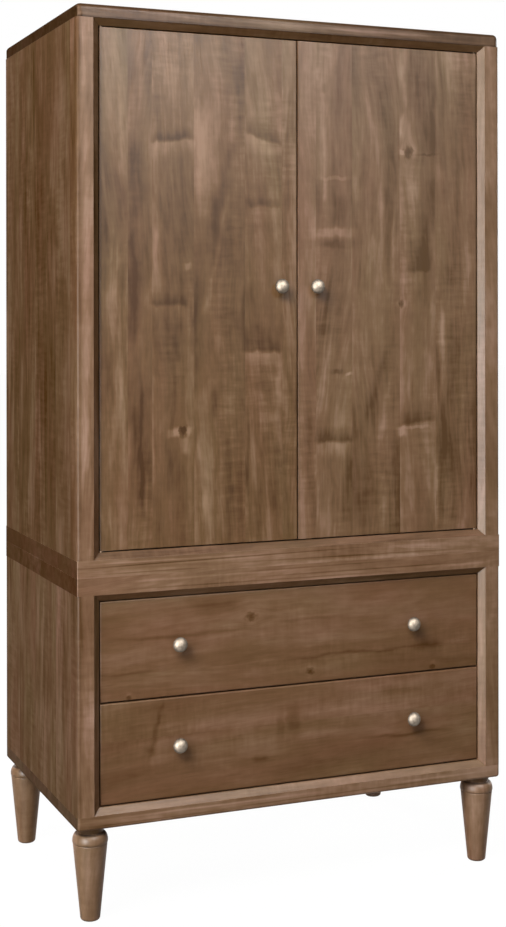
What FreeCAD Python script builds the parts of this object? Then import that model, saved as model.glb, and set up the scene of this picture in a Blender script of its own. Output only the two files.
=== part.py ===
import FreeCAD, Part
import math
import os

# A tall chest: a two-door cupboard over a case with two drawers, on four turned legs.
# Millimetres. +X is to the right as seen from the front, +Y runs to the back, +Z is up.
# The origin is on the floor, under the middle of the whole chest's box.

Vector = FreeCAD.Vector
ALONG_X = Vector(1, 0, 0)
ALONG_Y = Vector(0, 1, 0)
ALONG_Z = Vector(0, 0, 1)
LEFT, RIGHT = -1, 1
SIDES = {"left": LEFT, "right": RIGHT}

# Case
case_width = 1016.0
case_depth = 610.0
leg_height = 198.0
base_thick = 29.0
lower_post_height = 460.0
waist_board_thick = 36.5
upper_post_height = 1131.0
slab_thick = 29.0
post_width = 37.5
post_depth = 45.0
side_thick = 22.0
post_corner_radius = 8.0
board_corner_radius = 4.0
slab_edge_radius = 8.0
base_edge_radius = 6.5

# Back panels and their rebates
back_thick = 6.0
rebate_reach = 8.0
panel_clearance = 0.5

# Bevelled moulding round both openings
trim_width = 14.0
trim_recess = 0.6
face_setback = 12.0

# Doors
door_thick = 20.0
door_gap = 2.5
door_centre_gap = 3.0
front_edge_radius = 2.0

# Drawer fronts
drawer_gap = 2.5
between_drawers_gap = 3.0
drawer_front_thick = 20.0

# Drawer boxes
box_height = 150.0
box_length = 520.0
box_side_thick = 14.0
box_rise = 22.0
box_bottom_thick = 6.0
box_bottom_rise = 12.0
groove_depth = 6.0
groove_clearance = 0.2

# Three-part drawer slides
slide_length = 500.0
slide_height = 45.0
slide_thick = 12.7
slide_wall = 1.2
slide_play = 0.4
slide_behind_front = 4.0
slide_rise = 60.0
batten_height = 60.0

# Pivot hinges
pivot_from_edge = 4.0
pivot_behind_face = 5.0
pivot_radius = 2.5
pivot_play = 0.05
pivot_reach = 8.0
leaf_length = 45.0
leaf_width = 14.0
leaf_thick = 2.5
leaf_end = 3.5
washer_radius = 4.5
washer_play = 0.1
socket_play = 0.5

# Magnetic catches
catch_length = 44.0
catch_height = 13.0
catch_depth = 12.7
catch_from_centre = 40.0
catch_gap = 0.3
magnet_length = 32.0
magnet_height = 8.0
magnet_depth = 8.0
strike_length = 34.0
strike_height = 14.0
strike_thick = 1.2

# Knobs and their screws
knob_radius = 16.0
knob_length = 26.0
knob_base_radius = 7.5
knob_base_height = 2.0
knob_neck_radius = 5.5
knob_neck_length = 8.0
knob_rim_height = 14.0
knob_thread_depth = 11.0
knob_screw_radius = 2.0
knob_screw_play = 0.2
knob_screw_head_radius = 4.5
knob_screw_head_thick = 2.5
door_knob_from_centre = 43.0
door_knob_rise = 557.0
drawer_knob_spacing = 562.0
drawer_knob_above_middle = 5.5

# Shelves and their pins
shelf_thick = 18.0
shelf_setback = 60.0
shelf_clearance = 1.0
lower_shelf_height = 380.0
upper_shelf_height = 750.0
pin_radius = 2.5
pin_play = 0.05
pin_reach = 10.0
pin_tongue_length = 9.0
pin_tongue_width = 10.0
pin_tongue_thick = 2.5
pin_hole_pitch = 32.0
pin_from_shelf_edge = 50.0

# Legs and their bolts
leg_inset = 40.0
leg_neck_radius = 29.5
leg_neck_height = 12.0
leg_step = 1.2
leg_bead_radius = 37.7
leg_bead_mid_radius = 35.6
leg_bead_mid_drop = 19.5
leg_bead_drop = 33.0
leg_bead_end_drop = 42.5
leg_groove_depth = 0.8
leg_groove_width = 2.4
leg_foot_radius = 21.2
leg_foot_edge = 7.0
bolt_radius = 4.0
bolt_play = 0.05
bolt_in_leg = 45.0
bolt_in_base = 20.0
insert_radius = 6.5
insert_length = 23.0

# Screws of the case
joining_screw_radius = 2.5
joining_screw_reach = 24.0
joining_screw_inset = 110.0
back_screw_radius = 1.5
back_screw_length = 20.0
screw_play = 0.05
screw_head_ratio_share = 2.0
screw_head_thick = 2.0
back_screws_per_side = 5
lower_back_screws_per_side = 3
back_screw_end_inset = 60.0

# Pilot holes for a wall anchor in the back edge of the top slab
anchor_spacing = 32.0
anchor_hole_radius = 1.5
anchor_hole_depth = 20.0

# How far cutting shapes run past what they cut
overrun = 5.0
straightness_share = 0.999

# Planes and levels that follow
knob_stand_out = knob_length - face_setback
front_y = (knob_stand_out - case_depth) / 2
back_y = front_y + case_depth
right_x = case_width / 2
face_y = front_y + face_setback
door_back_y = face_y + door_thick
drawer_back_y = face_y + drawer_front_thick
trim_back_y = front_y + post_depth
panel_front_y = back_y - back_thick

base_z = leg_height
lower_z = base_z + base_thick
lower_top_z = lower_z + lower_post_height
seam_z = lower_top_z + waist_board_thick
upper_z = seam_z + waist_board_thick
slab_z = upper_z + upper_post_height
top_z = slab_z + slab_thick
anchor_z = (slab_z + rebate_reach + top_z) / 2

post_inner_x = right_x - post_width
side_inner_x = right_x - side_thick
opening_x = post_inner_x - trim_width
door_edge_x = opening_x - door_gap
pivot_x = door_edge_x - pivot_from_edge
pivot_y = face_y + pivot_behind_face
door_low_z = upper_z + trim_width + door_gap
door_high_z = slab_z - trim_width - door_gap
leaf_far_x = door_edge_x - leaf_length
leaf_front_y = pivot_y - leaf_end
leaf_back_y = leaf_front_y + leaf_width

drawer_edge_x = opening_x - drawer_gap
drawer_space = lower_post_height - 2 * trim_width - 2 * drawer_gap - between_drawers_gap
drawer_front_height = drawer_space / 2
drawer_low = {"bottom_drawer": lower_z + trim_width + drawer_gap}
drawer_low["top_drawer"] = drawer_low["bottom_drawer"] + drawer_front_height + between_drawers_gap
box_outer_x = opening_x - slide_thick
box_inner_x = box_outer_x - box_side_thick
box_back_y = drawer_back_y + box_length
slide_front_y = drawer_back_y + slide_behind_front
slide_back_y = slide_front_y + slide_length

leg_x = right_x - leg_inset
leg_y = {"front": front_y + leg_inset, "back": back_y - leg_inset}
shelf_levels = {"lower_shelf": upper_z + lower_shelf_height, "upper_shelf": upper_z + upper_shelf_height}
shelf_x = side_inner_x - shelf_clearance
shelf_front_y = front_y + shelf_setback
shelf_back_y = panel_front_y - shelf_clearance


# Shapes that several pieces share

def box(x_limits, y_limits, z_limits):
    low = Vector(min(x_limits), min(y_limits), min(z_limits))
    high = Vector(max(x_limits), max(y_limits), max(z_limits))
    size = high - low
    return Part.makeBox(size.x, size.y, size.z, low)


def cylinder(radius, start, axis, length):
    return Part.makeCylinder(radius, length, start, axis)


def prism(corners, run):
    outline = Part.makePolygon(corners + corners[:1])
    return Part.Face(outline).extrude(run)


def straight_edges(shape, direction, wanted):
    found = []
    for edge in shape.Edges:
        start = edge.Vertexes[0].Point
        run = edge.Vertexes[-1].Point - start
        middle = start + run / 2
        if abs(run.dot(direction)) > straightness_share * run.Length and wanted(middle):
            found.append(edge)
    return found


def rounded(shape, radius, direction, wanted):
    return shape.makeFillet(radius, straight_edges(shape, direction, wanted))


def everywhere(middle):
    return True


def save(name, *solids):
    shape = solids[0] if len(solids) == 1 else Part.makeCompound(list(solids))
    shape.exportStep("parts/" + name + ".step")


def screw(radius, head_radius, head_thick, start, axis, length):
    # The head's outer face is at start, and the shank ends length behind it.
    head = cylinder(head_radius, start, axis, head_thick)
    shank = cylinder(radius, start, axis, length)
    return head.fuse(shank).removeSplitter()


def both_shelf_columns():
    columns = (shelf_front_y + pin_from_shelf_edge, shelf_back_y - pin_from_shelf_edge)
    return [(side, y) for side in SIDES.values() for y in columns]


def back_screw_places(low, high, count):
    first = low + back_screw_end_inset
    pitch = (high - low - 2 * back_screw_end_inset) / (count - 1)
    x = side_inner_x + rebate_reach / 2
    return [Vector(side * x, back_y, first + pitch * n) for side in SIDES.values() for n in range(count)]


def joining_screw_places():
    x = right_x - joining_screw_inset
    rows = (front_y + joining_screw_inset, back_y - joining_screw_inset)
    return [Vector(side * x, y, lower_top_z) for side in SIDES.values() for y in rows]


# Case

def full_board(low, high):
    board = box((-right_x, right_x), (front_y, back_y), (low, high))
    return rounded(board, board_corner_radius, ALONG_Z, everywhere)


def back_rebate(low, high):
    x = side_inner_x + rebate_reach
    return box((-x, x), (panel_front_y, back_y + overrun), (low, high))


def board_with_soft_edge(low, high, edge_z, radius):
    board = box((-right_x, right_x), (front_y, back_y), (low, high))

    def at_edge(middle):
        return abs(middle.z - edge_z) < radius

    along_x = straight_edges(board, ALONG_X, at_edge)
    along_y = straight_edges(board, ALONG_Y, at_edge)
    return board.makeFillet(radius, along_x + along_y).common(full_board(low, high))


def leaf_seat(side, z_limits):
    return box((side * door_edge_x, side * leaf_far_x), (leaf_front_y, leaf_back_y), z_limits)


def make_top_slab():
    slab = board_with_soft_edge(slab_z, top_z, top_z, slab_edge_radius)
    slab = slab.cut(back_rebate(slab_z - overrun, slab_z + rebate_reach))
    for side in SIDES.values():
        mouth = Vector(side * anchor_spacing / 2, back_y, anchor_z)
        slab = slab.cut(cylinder(anchor_hole_radius, mouth, -ALONG_Y, anchor_hole_depth))
    save("top_slab", slab)


def make_cupboard_floor():
    board = full_board(seam_z, upper_z)
    board = board.cut(back_rebate(upper_z - rebate_reach, upper_z + overrun))
    for place in joining_screw_places():
        hole_radius = joining_screw_radius + screw_play
        hole_length = waist_board_thick + joining_screw_reach + screw_play
        board = board.cut(cylinder(hole_radius, place, ALONG_Z, hole_length))
    save("cupboard_floor", board)


def make_lower_top_board():
    board = full_board(lower_top_z, seam_z)
    board = board.cut(back_rebate(lower_top_z - overrun, lower_top_z + rebate_reach))
    for place in joining_screw_places():
        board = board.cut(cylinder(joining_screw_radius + screw_play, place, ALONG_Z, waist_board_thick))
    save("lower_top_board", board)


def make_base_board():
    board = board_with_soft_edge(base_z, lower_z, base_z, base_edge_radius)
    board = board.cut(back_rebate(lower_z - rebate_reach, lower_z + overrun))
    for side in SIDES.values():
        for y in leg_y.values():
            mouth = Vector(side * leg_x, y, base_z)
            board = board.cut(cylinder(insert_radius, mouth, ALONG_Z, insert_length))
    save("base_board", board)


def make_posts(case_name, low, high):
    for name, side in SIDES.items():
        post = box((side * post_inner_x, side * right_x), (front_y, trim_back_y), (low, high))

        def at_outer_front(middle):
            return abs(middle.x) > post_inner_x + post_width / 2 and middle.y < front_y + post_depth / 2

        save(case_name + "_" + name + "_post", rounded(post, post_corner_radius, ALONG_Z, at_outer_front))


def make_sides(case_name, low, high, screws_per_side):
    for name, side in SIDES.items():
        panel = box((side * side_inner_x, side * right_x), (trim_back_y, back_y), (low, high))

        def at_outer_back(middle):
            return abs(middle.x) > side_inner_x + side_thick / 2 and middle.y > back_y - post_depth

        panel = rounded(panel, post_corner_radius, ALONG_Z, at_outer_back)
        panel = panel.cut(back_rebate(low - overrun, high + overrun))
        for place in back_screw_places(low, high, screws_per_side):
            if place.x * side > 0:
                hole_length = back_screw_length + screw_play
                panel = panel.cut(cylinder(back_screw_radius + screw_play, place, -ALONG_Y, hole_length))
        if case_name == "upper":
            for hole in shelf_pin_holes(side):
                panel = panel.cut(hole)
        save(case_name + "_" + name + "_side", panel)


def shelf_pin_holes(side):
    holes = []
    for column_side, y in both_shelf_columns():
        if column_side == side:
            for level in shelf_levels.values():
                for step in (-1, 0, 1):
                    centre_z = level - pin_tongue_thick / 2 + step * pin_hole_pitch
                    mouth = Vector(side * side_inner_x, y, centre_z)
                    depth = pin_reach + pin_play
                    holes.append(cylinder(pin_radius + pin_play, mouth, ALONG_X * side, depth))
    return holes


def make_back_panel(name, low, high, screws_per_side):
    x = side_inner_x + rebate_reach - panel_clearance
    reach = rebate_reach - panel_clearance
    panel = box((-x, x), (panel_front_y, back_y), (low - reach, high + reach))
    for place in back_screw_places(low, high, screws_per_side):
        head_radius = back_screw_radius * screw_head_ratio_share + screw_play
        panel = panel.cut(cylinder(head_radius, place, -ALONG_Y, screw_head_thick))
        panel = panel.cut(cylinder(back_screw_radius + screw_play, place, -ALONG_Y, back_thick))
    save(name, panel)


def make_case_screws():
    screws = []
    for place in joining_screw_places():
        head_radius = joining_screw_radius * screw_head_ratio_share
        start = place - ALONG_Z * screw_head_thick
        length = screw_head_thick + waist_board_thick + joining_screw_reach
        screws.append(screw(joining_screw_radius, head_radius, screw_head_thick, start, ALONG_Z, length))
    places = back_screw_places(upper_z, slab_z, back_screws_per_side)
    places += back_screw_places(lower_z, lower_top_z, lower_back_screws_per_side)
    for place in places:
        head_radius = back_screw_radius * screw_head_ratio_share
        screws.append(screw(back_screw_radius, head_radius, screw_head_thick, place, -ALONG_Y, back_screw_length))
    save("case_screws", *screws)


# Bevelled moulding, mitred at the corners of an opening

def upright_trim(side, low, high):
    outer_x, inner_x = side * post_inner_x, side * opening_x
    section = [
        Vector(outer_x, front_y + trim_recess, low),
        Vector(inner_x, face_y, low),
        Vector(inner_x, trim_back_y, low),
        Vector(outer_x, trim_back_y, low),
    ]
    mitres = [
        Vector(outer_x, front_y, low),
        Vector(inner_x, front_y, low + trim_width),
        Vector(inner_x, front_y, high - trim_width),
        Vector(outer_x, front_y, high),
    ]
    return prism(section, ALONG_Z * (high - low)).common(prism(mitres, ALONG_Y * post_depth))


def level_trim(outer_z, inner_z):
    section = [
        Vector(-post_inner_x, front_y + trim_recess, outer_z),
        Vector(-post_inner_x, face_y, inner_z),
        Vector(-post_inner_x, trim_back_y, inner_z),
        Vector(-post_inner_x, trim_back_y, outer_z),
    ]
    mitres = [
        Vector(-post_inner_x, front_y, outer_z),
        Vector(-opening_x, front_y, inner_z),
        Vector(opening_x, front_y, inner_z),
        Vector(post_inner_x, front_y, outer_z),
    ]
    length = 2 * post_inner_x
    return prism(section, ALONG_X * length).common(prism(mitres, ALONG_Y * post_depth))


def make_trim(opening_name, low, high):
    bottom = level_trim(low, low + trim_width)
    top = level_trim(high, high - trim_width)
    if opening_name == "door":
        for side in SIDES.values():
            bottom = bottom.cut(leaf_seat(side, (low + trim_width - leaf_thick, low + trim_width)))
            top = top.cut(leaf_seat(side, (high - trim_width, high - trim_width + leaf_thick)))
    save(opening_name + "_trim_bottom", bottom)
    save(opening_name + "_trim_top", top)
    for name, side in SIDES.items():
        save(opening_name + "_trim_" + name, upright_trim(side, low, high))


# Shelves

def make_shelves():
    for name, level in shelf_levels.items():
        save(name, box((-shelf_x, shelf_x), (shelf_front_y, shelf_back_y), (level, level + shelf_thick)))


def make_shelf_pins():
    pins = []
    for side, y in both_shelf_columns():
        for level in shelf_levels.values():
            centre_z = level - pin_tongue_thick / 2
            seat = Vector(side * side_inner_x, y, centre_z)
            stem = cylinder(pin_radius, seat, ALONG_X * side, pin_reach)
            tongue_x = side * (side_inner_x - pin_tongue_length)
            tongue_y = (y - pin_tongue_width / 2, y + pin_tongue_width / 2)
            tongue = box((side * side_inner_x, tongue_x), tongue_y, (level - pin_tongue_thick, level))
            pins.append(stem.fuse(tongue))
    save("shelf_pins", *pins)


# Doors and their pivots

def make_door(name, side):
    x_limits = (side * door_centre_gap / 2, side * door_edge_x)
    panel = box(x_limits, (face_y, door_back_y), (door_low_z, door_high_z))

    def at_front(middle):
        return middle.y < face_y + front_edge_radius

    front_edges = straight_edges(panel, ALONG_X, at_front) + straight_edges(panel, ALONG_Z, at_front)
    panel = panel.makeFillet(front_edge_radius, front_edges)
    for z, up in ((door_low_z, 1), (door_high_z, -1)):
        panel = panel.cut(leaf_seat(side, (z, z + up * leaf_thick)))
        mouth = Vector(side * pivot_x, pivot_y, z)
        depth = leaf_thick + pivot_reach + socket_play
        panel = panel.cut(cylinder(pivot_radius + socket_play, mouth, ALONG_Z * up, depth))
    panel = panel.cut(strike_plate(side))
    panel = panel.cut(knob_screw_hole(door_knob_place(side), door_thick))
    save(name + "_panel", panel)
    save(name + "_strike", strike_plate(side))
    save(name + "_knob", *knob_with_screw(door_knob_place(side), door_thick))


def make_door_leaves(name, side):
    leaves = []
    for z, up in ((door_low_z, 1), (door_high_z, -1)):
        leaf = leaf_seat(side, (z, z + up * leaf_thick))
        mouth = Vector(side * pivot_x, pivot_y, z)
        leaves.append(leaf.cut(cylinder(pivot_radius + pivot_play, mouth, ALONG_Z * up, leaf_thick)))
    save(name + "_hinge_leaves", *leaves)


def make_case_leaves():
    pieces = []
    for side in SIDES.values():
        for z, up in ((door_low_z - door_gap, 1), (door_high_z + door_gap, -1)):
            leaf = leaf_seat(side, (z - up * leaf_thick, z))
            foot = Vector(side * pivot_x, pivot_y, z)
            pin_length = door_gap + leaf_thick + pivot_reach
            pieces.append(leaf.fuse(cylinder(pivot_radius, foot, ALONG_Z * up, pin_length)))
        foot = Vector(side * pivot_x, pivot_y, door_low_z - door_gap)
        washer = cylinder(washer_radius, foot, ALONG_Z, door_gap - washer_play)
        pieces.append(washer.cut(cylinder(pivot_radius + pivot_play, foot, ALONG_Z, door_gap)))
    save("hinge_case_leaves", *pieces)


def make_door_catches():
    pieces = []
    catch_z = slab_z - trim_width
    catch_front_y = door_back_y + catch_gap
    for side in SIDES.values():
        middle_x = side * catch_from_centre
        x_limits = (middle_x - catch_length / 2, middle_x + catch_length / 2)
        body = box(x_limits, (catch_front_y, catch_front_y + catch_depth), (catch_z - catch_height, catch_z))
        magnet_x = (middle_x - magnet_length / 2, middle_x + magnet_length / 2)
        middle_z = catch_z - catch_height / 2
        magnet_z = (middle_z - magnet_height / 2, middle_z + magnet_height / 2)
        magnet = box(magnet_x, (catch_front_y, catch_front_y + magnet_depth), magnet_z)
        pieces.append(body.cut(magnet))
        pieces.append(magnet)
    save("door_catches", *pieces)


def strike_plate(side):
    middle_x = side * catch_from_centre
    middle_z = slab_z - trim_width - catch_height / 2
    top = min(middle_z + strike_height / 2, door_high_z)
    x_limits = (middle_x - strike_length / 2, middle_x + strike_length / 2)
    return box(x_limits, (door_back_y - strike_thick, door_back_y), (top - strike_height, top))


# Knobs

def door_knob_place(side):
    return Vector(side * door_knob_from_centre, face_y, door_low_z + door_knob_rise)


def drawer_knob_places(low):
    z = low + drawer_front_height / 2 + drawer_knob_above_middle
    return [Vector(side * drawer_knob_spacing / 2, face_y, z) for side in SIDES.values()]


def knob_screw_hole(place, through):
    return cylinder(knob_screw_radius + knob_screw_play, place, ALONG_Y, through)


def knob_with_screw(place, through):
    # The outline is drawn with the radius along X and the height above the face along Z.
    dome_height = knob_length - knob_rim_height
    dome_radius = (knob_radius**2 + dome_height**2) / (2 * dome_height)
    half_way = (knob_radius + knob_neck_radius) / 2
    dome_middle_z = knob_length - dome_radius + math.sqrt(dome_radius**2 - half_way**2)
    flare_middle_z = knob_rim_height - (knob_rim_height - knob_neck_length) / 3
    neck_end = Vector(knob_neck_radius, 0, knob_neck_length)
    flare_middle = Vector(half_way, 0, flare_middle_z)
    rim = Vector(knob_radius, 0, knob_rim_height)
    dome_middle = Vector(half_way, 0, dome_middle_z)
    crown = Vector(0, 0, knob_length)
    corners = [
        Vector(0, 0, 0),
        Vector(knob_base_radius, 0, 0),
        Vector(knob_base_radius, 0, knob_base_height),
        Vector(knob_neck_radius, 0, knob_base_height),
        neck_end,
    ]
    edges = [Part.makeLine(start, end) for start, end in zip(corners, corners[1:])]
    edges.append(Part.Arc(neck_end, flare_middle, rim).toShape())
    edges.append(Part.Arc(rim, dome_middle, crown).toShape())
    edges.append(Part.makeLine(crown, corners[0]))
    outline = Part.Face(Part.Wire(edges))
    knob = outline.revolve(Vector(0, 0, 0), ALONG_Z, 360)
    thread = cylinder(knob_screw_radius, Vector(0, 0, 0), ALONG_Z, knob_thread_depth)
    knob = knob.cut(thread)
    knob.rotate(Vector(0, 0, 0), ALONG_X, 90)
    knob.translate(place)
    head_face = place + ALONG_Y * (through + knob_screw_head_thick)
    length = knob_screw_head_thick + through + knob_thread_depth
    bolt = screw(knob_screw_radius, knob_screw_head_radius, knob_screw_head_thick, head_face, -ALONG_Y, length)
    return [knob, bolt]


# Drawers

def make_drawer(name):
    low = drawer_low[name]
    z_limits = (low, low + drawer_front_height)
    front = box((-drawer_edge_x, drawer_edge_x), (face_y, drawer_back_y), z_limits)

    def at_front(middle):
        return middle.y < face_y + front_edge_radius

    front_edges = straight_edges(front, ALONG_X, at_front) + straight_edges(front, ALONG_Z, at_front)
    front = front.makeFillet(front_edge_radius, front_edges)
    side_z = (low + box_rise, low + box_rise + box_height)
    bottom_z = (side_z[0] + box_bottom_rise, side_z[0] + box_bottom_rise + box_bottom_thick)
    groove_z = (bottom_z[0], bottom_z[1] + groove_clearance)
    groove_x = box_inner_x + groove_depth
    groove_y = (drawer_back_y - groove_depth, box_back_y + overrun)
    groove = box((-groove_x, groove_x), groove_y, groove_z)
    front = front.cut(groove)
    for place in drawer_knob_places(low):
        front = front.cut(knob_screw_hole(place, drawer_front_thick))
    save(name + "_front", front)
    for side_name, side in SIDES.items():
        panel = box((side * box_inner_x, side * box_outer_x), (drawer_back_y, box_back_y), side_z)
        save(name + "_" + side_name + "_side", panel.cut(groove))
    back_y_limits = (box_back_y - box_side_thick, box_back_y)
    save(name + "_back", box((-box_inner_x, box_inner_x), back_y_limits, (groove_z[1], side_z[1])))
    bottom_x = groove_x - groove_clearance
    bottom_y = (groove_y[0] + groove_clearance, box_back_y)
    save(name + "_bottom", box((-bottom_x, bottom_x), bottom_y, bottom_z))
    knobs = []
    for place in drawer_knob_places(low):
        knobs += knob_with_screw(place, drawer_front_thick)
    save(name + "_knobs", *knobs)


# Drawer slides: three channels one inside the other, with the drawer on the innermost

def channel(side, middle_z, web_x, lip_x, height):
    # The web's outer face is at web_x, and the flanges reach to lip_x.
    inward = 1 if lip_x > web_x else -1
    y_limits = (slide_front_y, slide_back_y)
    whole = box((side * web_x, side * lip_x), y_limits, (middle_z - height / 2, middle_z + height / 2))
    hollow_x = web_x + inward * slide_wall
    hollow_half = height / 2 - slide_wall
    past_x = lip_x + inward * overrun
    hollow_y = (slide_front_y - overrun, slide_back_y + overrun)
    hollow_z = (middle_z - hollow_half, middle_z + hollow_half)
    return whole.cut(box((side * hollow_x, side * past_x), hollow_y, hollow_z))


def make_slides():
    outer_members = []
    battens = []
    nesting = slide_wall + slide_play
    outer_lip_x = box_outer_x + 2 * nesting
    for name, low in drawer_low.items():
        middle_z = low + box_rise + slide_rise
        inner_members = []
        middle_members = []
        for side in SIDES.values():
            batten_z = (middle_z - batten_height / 2, middle_z + batten_height / 2)
            batten_x = (side * opening_x, side * side_inner_x)
            battens.append(box(batten_x, (trim_back_y, slide_back_y), batten_z))
            outer_members.append(channel(side, middle_z, opening_x, outer_lip_x, slide_height))
            middle_web_x = opening_x - nesting
            middle_lip_x = box_outer_x + nesting
            middle_height = slide_height - 2 * nesting
            middle_members.append(channel(side, middle_z, middle_web_x, middle_lip_x, middle_height))
            inner_height = middle_height - 2 * nesting
            inner_lip_x = middle_web_x - nesting
            inner_members.append(channel(side, middle_z, box_outer_x, inner_lip_x, inner_height))
        save(name + "_slide_inner", *inner_members)
        save(name.replace("drawer", "slide") + "_middle", *middle_members)
    save("slide_outer_members", *outer_members)
    save("slide_battens", *battens)


# Legs

def leg_outline():
    # The radius is along X, and the height is below the base board along -Z.
    bead_start = Vector(leg_neck_radius + leg_step, 0, -leg_neck_height - leg_step)
    bead_middle = Vector(leg_bead_mid_radius, 0, -leg_bead_mid_drop)
    bead_widest = Vector(leg_bead_radius, 0, -leg_bead_drop)
    groove_start = Vector(leg_bead_radius - leg_groove_depth / 2, 0, -leg_bead_end_drop)
    groove_floor = Vector(leg_bead_radius - 2 * leg_groove_depth, 0, -leg_bead_end_drop - leg_groove_width / 2)
    taper_start = Vector(leg_bead_radius - leg_groove_depth, 0, -leg_bead_end_drop - leg_groove_width)
    taper_end = Vector(leg_foot_radius, 0, leg_foot_edge - leg_height)
    foot_middle = Vector(leg_foot_radius - leg_foot_edge / 3, 0, leg_foot_edge / 4 - leg_height)
    foot_rim = Vector(leg_foot_radius - leg_foot_edge, 0, -leg_height)
    edges = [
        Part.makeLine(Vector(0, 0, 0), Vector(leg_neck_radius, 0, 0)),
        Part.makeLine(Vector(leg_neck_radius, 0, 0), Vector(leg_neck_radius, 0, -leg_neck_height)),
        Part.makeLine(Vector(leg_neck_radius, 0, -leg_neck_height), bead_start),
        Part.Arc(bead_start, bead_middle, bead_widest).toShape(),
        Part.makeLine(bead_widest, groove_start),
        Part.makeLine(groove_start, groove_floor),
        Part.makeLine(groove_floor, taper_start),
        Part.makeLine(taper_start, taper_end),
        Part.Arc(taper_end, foot_middle, foot_rim).toShape(),
        Part.makeLine(foot_rim, Vector(0, 0, -leg_height)),
        Part.makeLine(Vector(0, 0, -leg_height), Vector(0, 0, 0)),
    ]
    return Part.Face(Part.Wire(edges))


def make_legs():
    bolts = []
    inserts = []
    for row, y in leg_y.items():
        for side_name, side in SIDES.items():
            top = Vector(side * leg_x, y, base_z)
            leg = leg_outline().revolve(Vector(0, 0, 0), ALONG_Z, 360)
            leg.translate(top)
            hole_depth = bolt_in_leg + bolt_play
            leg = leg.cut(cylinder(bolt_radius + bolt_play, top, -ALONG_Z, hole_depth))
            save(row + "_" + side_name + "_leg", leg)
            bolts.append(cylinder(bolt_radius, top - ALONG_Z * bolt_in_leg, ALONG_Z, bolt_in_leg + bolt_in_base))
            insert = cylinder(insert_radius, top, ALONG_Z, insert_length)
            inserts.append(insert.cut(cylinder(bolt_radius + bolt_play, top, ALONG_Z, bolt_in_base + bolt_play)))
    save("leg_bolts", *bolts)
    save("leg_inserts", *inserts)


def main():
    os.makedirs("parts", exist_ok=True)
    make_top_slab()
    make_cupboard_floor()
    make_lower_top_board()
    make_base_board()
    make_posts("upper", upper_z, slab_z)
    make_posts("lower", lower_z, lower_top_z)
    make_sides("upper", upper_z, slab_z, back_screws_per_side)
    make_sides("lower", lower_z, lower_top_z, lower_back_screws_per_side)
    make_back_panel("upper_back_panel", upper_z, slab_z, back_screws_per_side)
    make_back_panel("lower_back_panel", lower_z, lower_top_z, lower_back_screws_per_side)
    make_case_screws()
    make_trim("door", upper_z, slab_z)
    make_trim("drawer", lower_z, lower_top_z)
    make_shelves()
    make_shelf_pins()
    for name, side in SIDES.items():
        make_door(name + "_door", side)
        make_door_leaves(name + "_door", side)
    make_case_leaves()
    make_door_catches()
    for name in drawer_low:
        make_drawer(name)
    make_slides()
    make_legs()


main()
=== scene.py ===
"""A two-door cupboard over a case with two drawers, in oiled hardwood with satin metal knobs."""

import logging
import math
import random
from collections.abc import Callable, Iterable
from dataclasses import dataclass, field, replace
from enum import Enum

import bmesh
import bpy
from mathutils import Matrix, Vector


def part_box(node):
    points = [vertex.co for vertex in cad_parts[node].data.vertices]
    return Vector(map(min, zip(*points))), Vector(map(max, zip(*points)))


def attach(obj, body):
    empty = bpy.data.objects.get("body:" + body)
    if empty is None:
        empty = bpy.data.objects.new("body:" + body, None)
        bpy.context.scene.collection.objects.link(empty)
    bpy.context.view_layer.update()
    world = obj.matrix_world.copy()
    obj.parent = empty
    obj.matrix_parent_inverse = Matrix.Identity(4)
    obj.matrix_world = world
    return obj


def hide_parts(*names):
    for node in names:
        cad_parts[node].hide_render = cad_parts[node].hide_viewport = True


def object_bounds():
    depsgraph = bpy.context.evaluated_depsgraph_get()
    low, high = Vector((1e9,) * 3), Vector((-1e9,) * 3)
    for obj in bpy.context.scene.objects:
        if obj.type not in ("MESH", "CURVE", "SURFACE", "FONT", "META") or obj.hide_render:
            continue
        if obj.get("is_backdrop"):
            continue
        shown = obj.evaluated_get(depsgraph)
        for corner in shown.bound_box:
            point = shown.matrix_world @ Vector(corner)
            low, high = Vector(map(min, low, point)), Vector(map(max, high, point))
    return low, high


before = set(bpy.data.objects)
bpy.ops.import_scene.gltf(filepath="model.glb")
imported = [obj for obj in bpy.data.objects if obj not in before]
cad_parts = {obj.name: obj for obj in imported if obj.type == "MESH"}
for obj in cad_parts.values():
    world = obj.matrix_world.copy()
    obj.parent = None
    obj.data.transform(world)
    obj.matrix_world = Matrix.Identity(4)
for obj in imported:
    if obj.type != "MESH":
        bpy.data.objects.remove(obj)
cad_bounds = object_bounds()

log = logging.getLogger("door_chest")

ALONG_X = Vector((1, 0, 0))
ALONG_Y = Vector((0, 1, 0))
ALONG_Z = Vector((0, 0, 1))
SIDES = {"left": -1, "right": 1}
CARCASS = "carcass"
OVERRUN = 0.005
MERGE = 1e-6
SHARP_FOLD = math.radians(30)
SHARP_ANGLE = math.radians(50)
PARALLEL = 0.999
STAVE_ATTRIBUTE = "stave"

Colour = tuple[float, float, float, float]
Profile = list[tuple[float, float]]
EdgeTest = Callable[[bmesh.types.BMEdge], bool]
Socket = bpy.types.NodeSocket
Value = Socket | float


class Grain(Enum):
    """The way that the grain of a board runs."""

    UPRIGHT = (0, 1, 2)
    SIDEWAYS = (2, 1, 0)
    FRONT_TO_BACK = (0, 2, 1)

    @property
    def axis(self) -> int:
        """The number of the axis that the grain follows."""
        return self.value.index(2)


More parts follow.
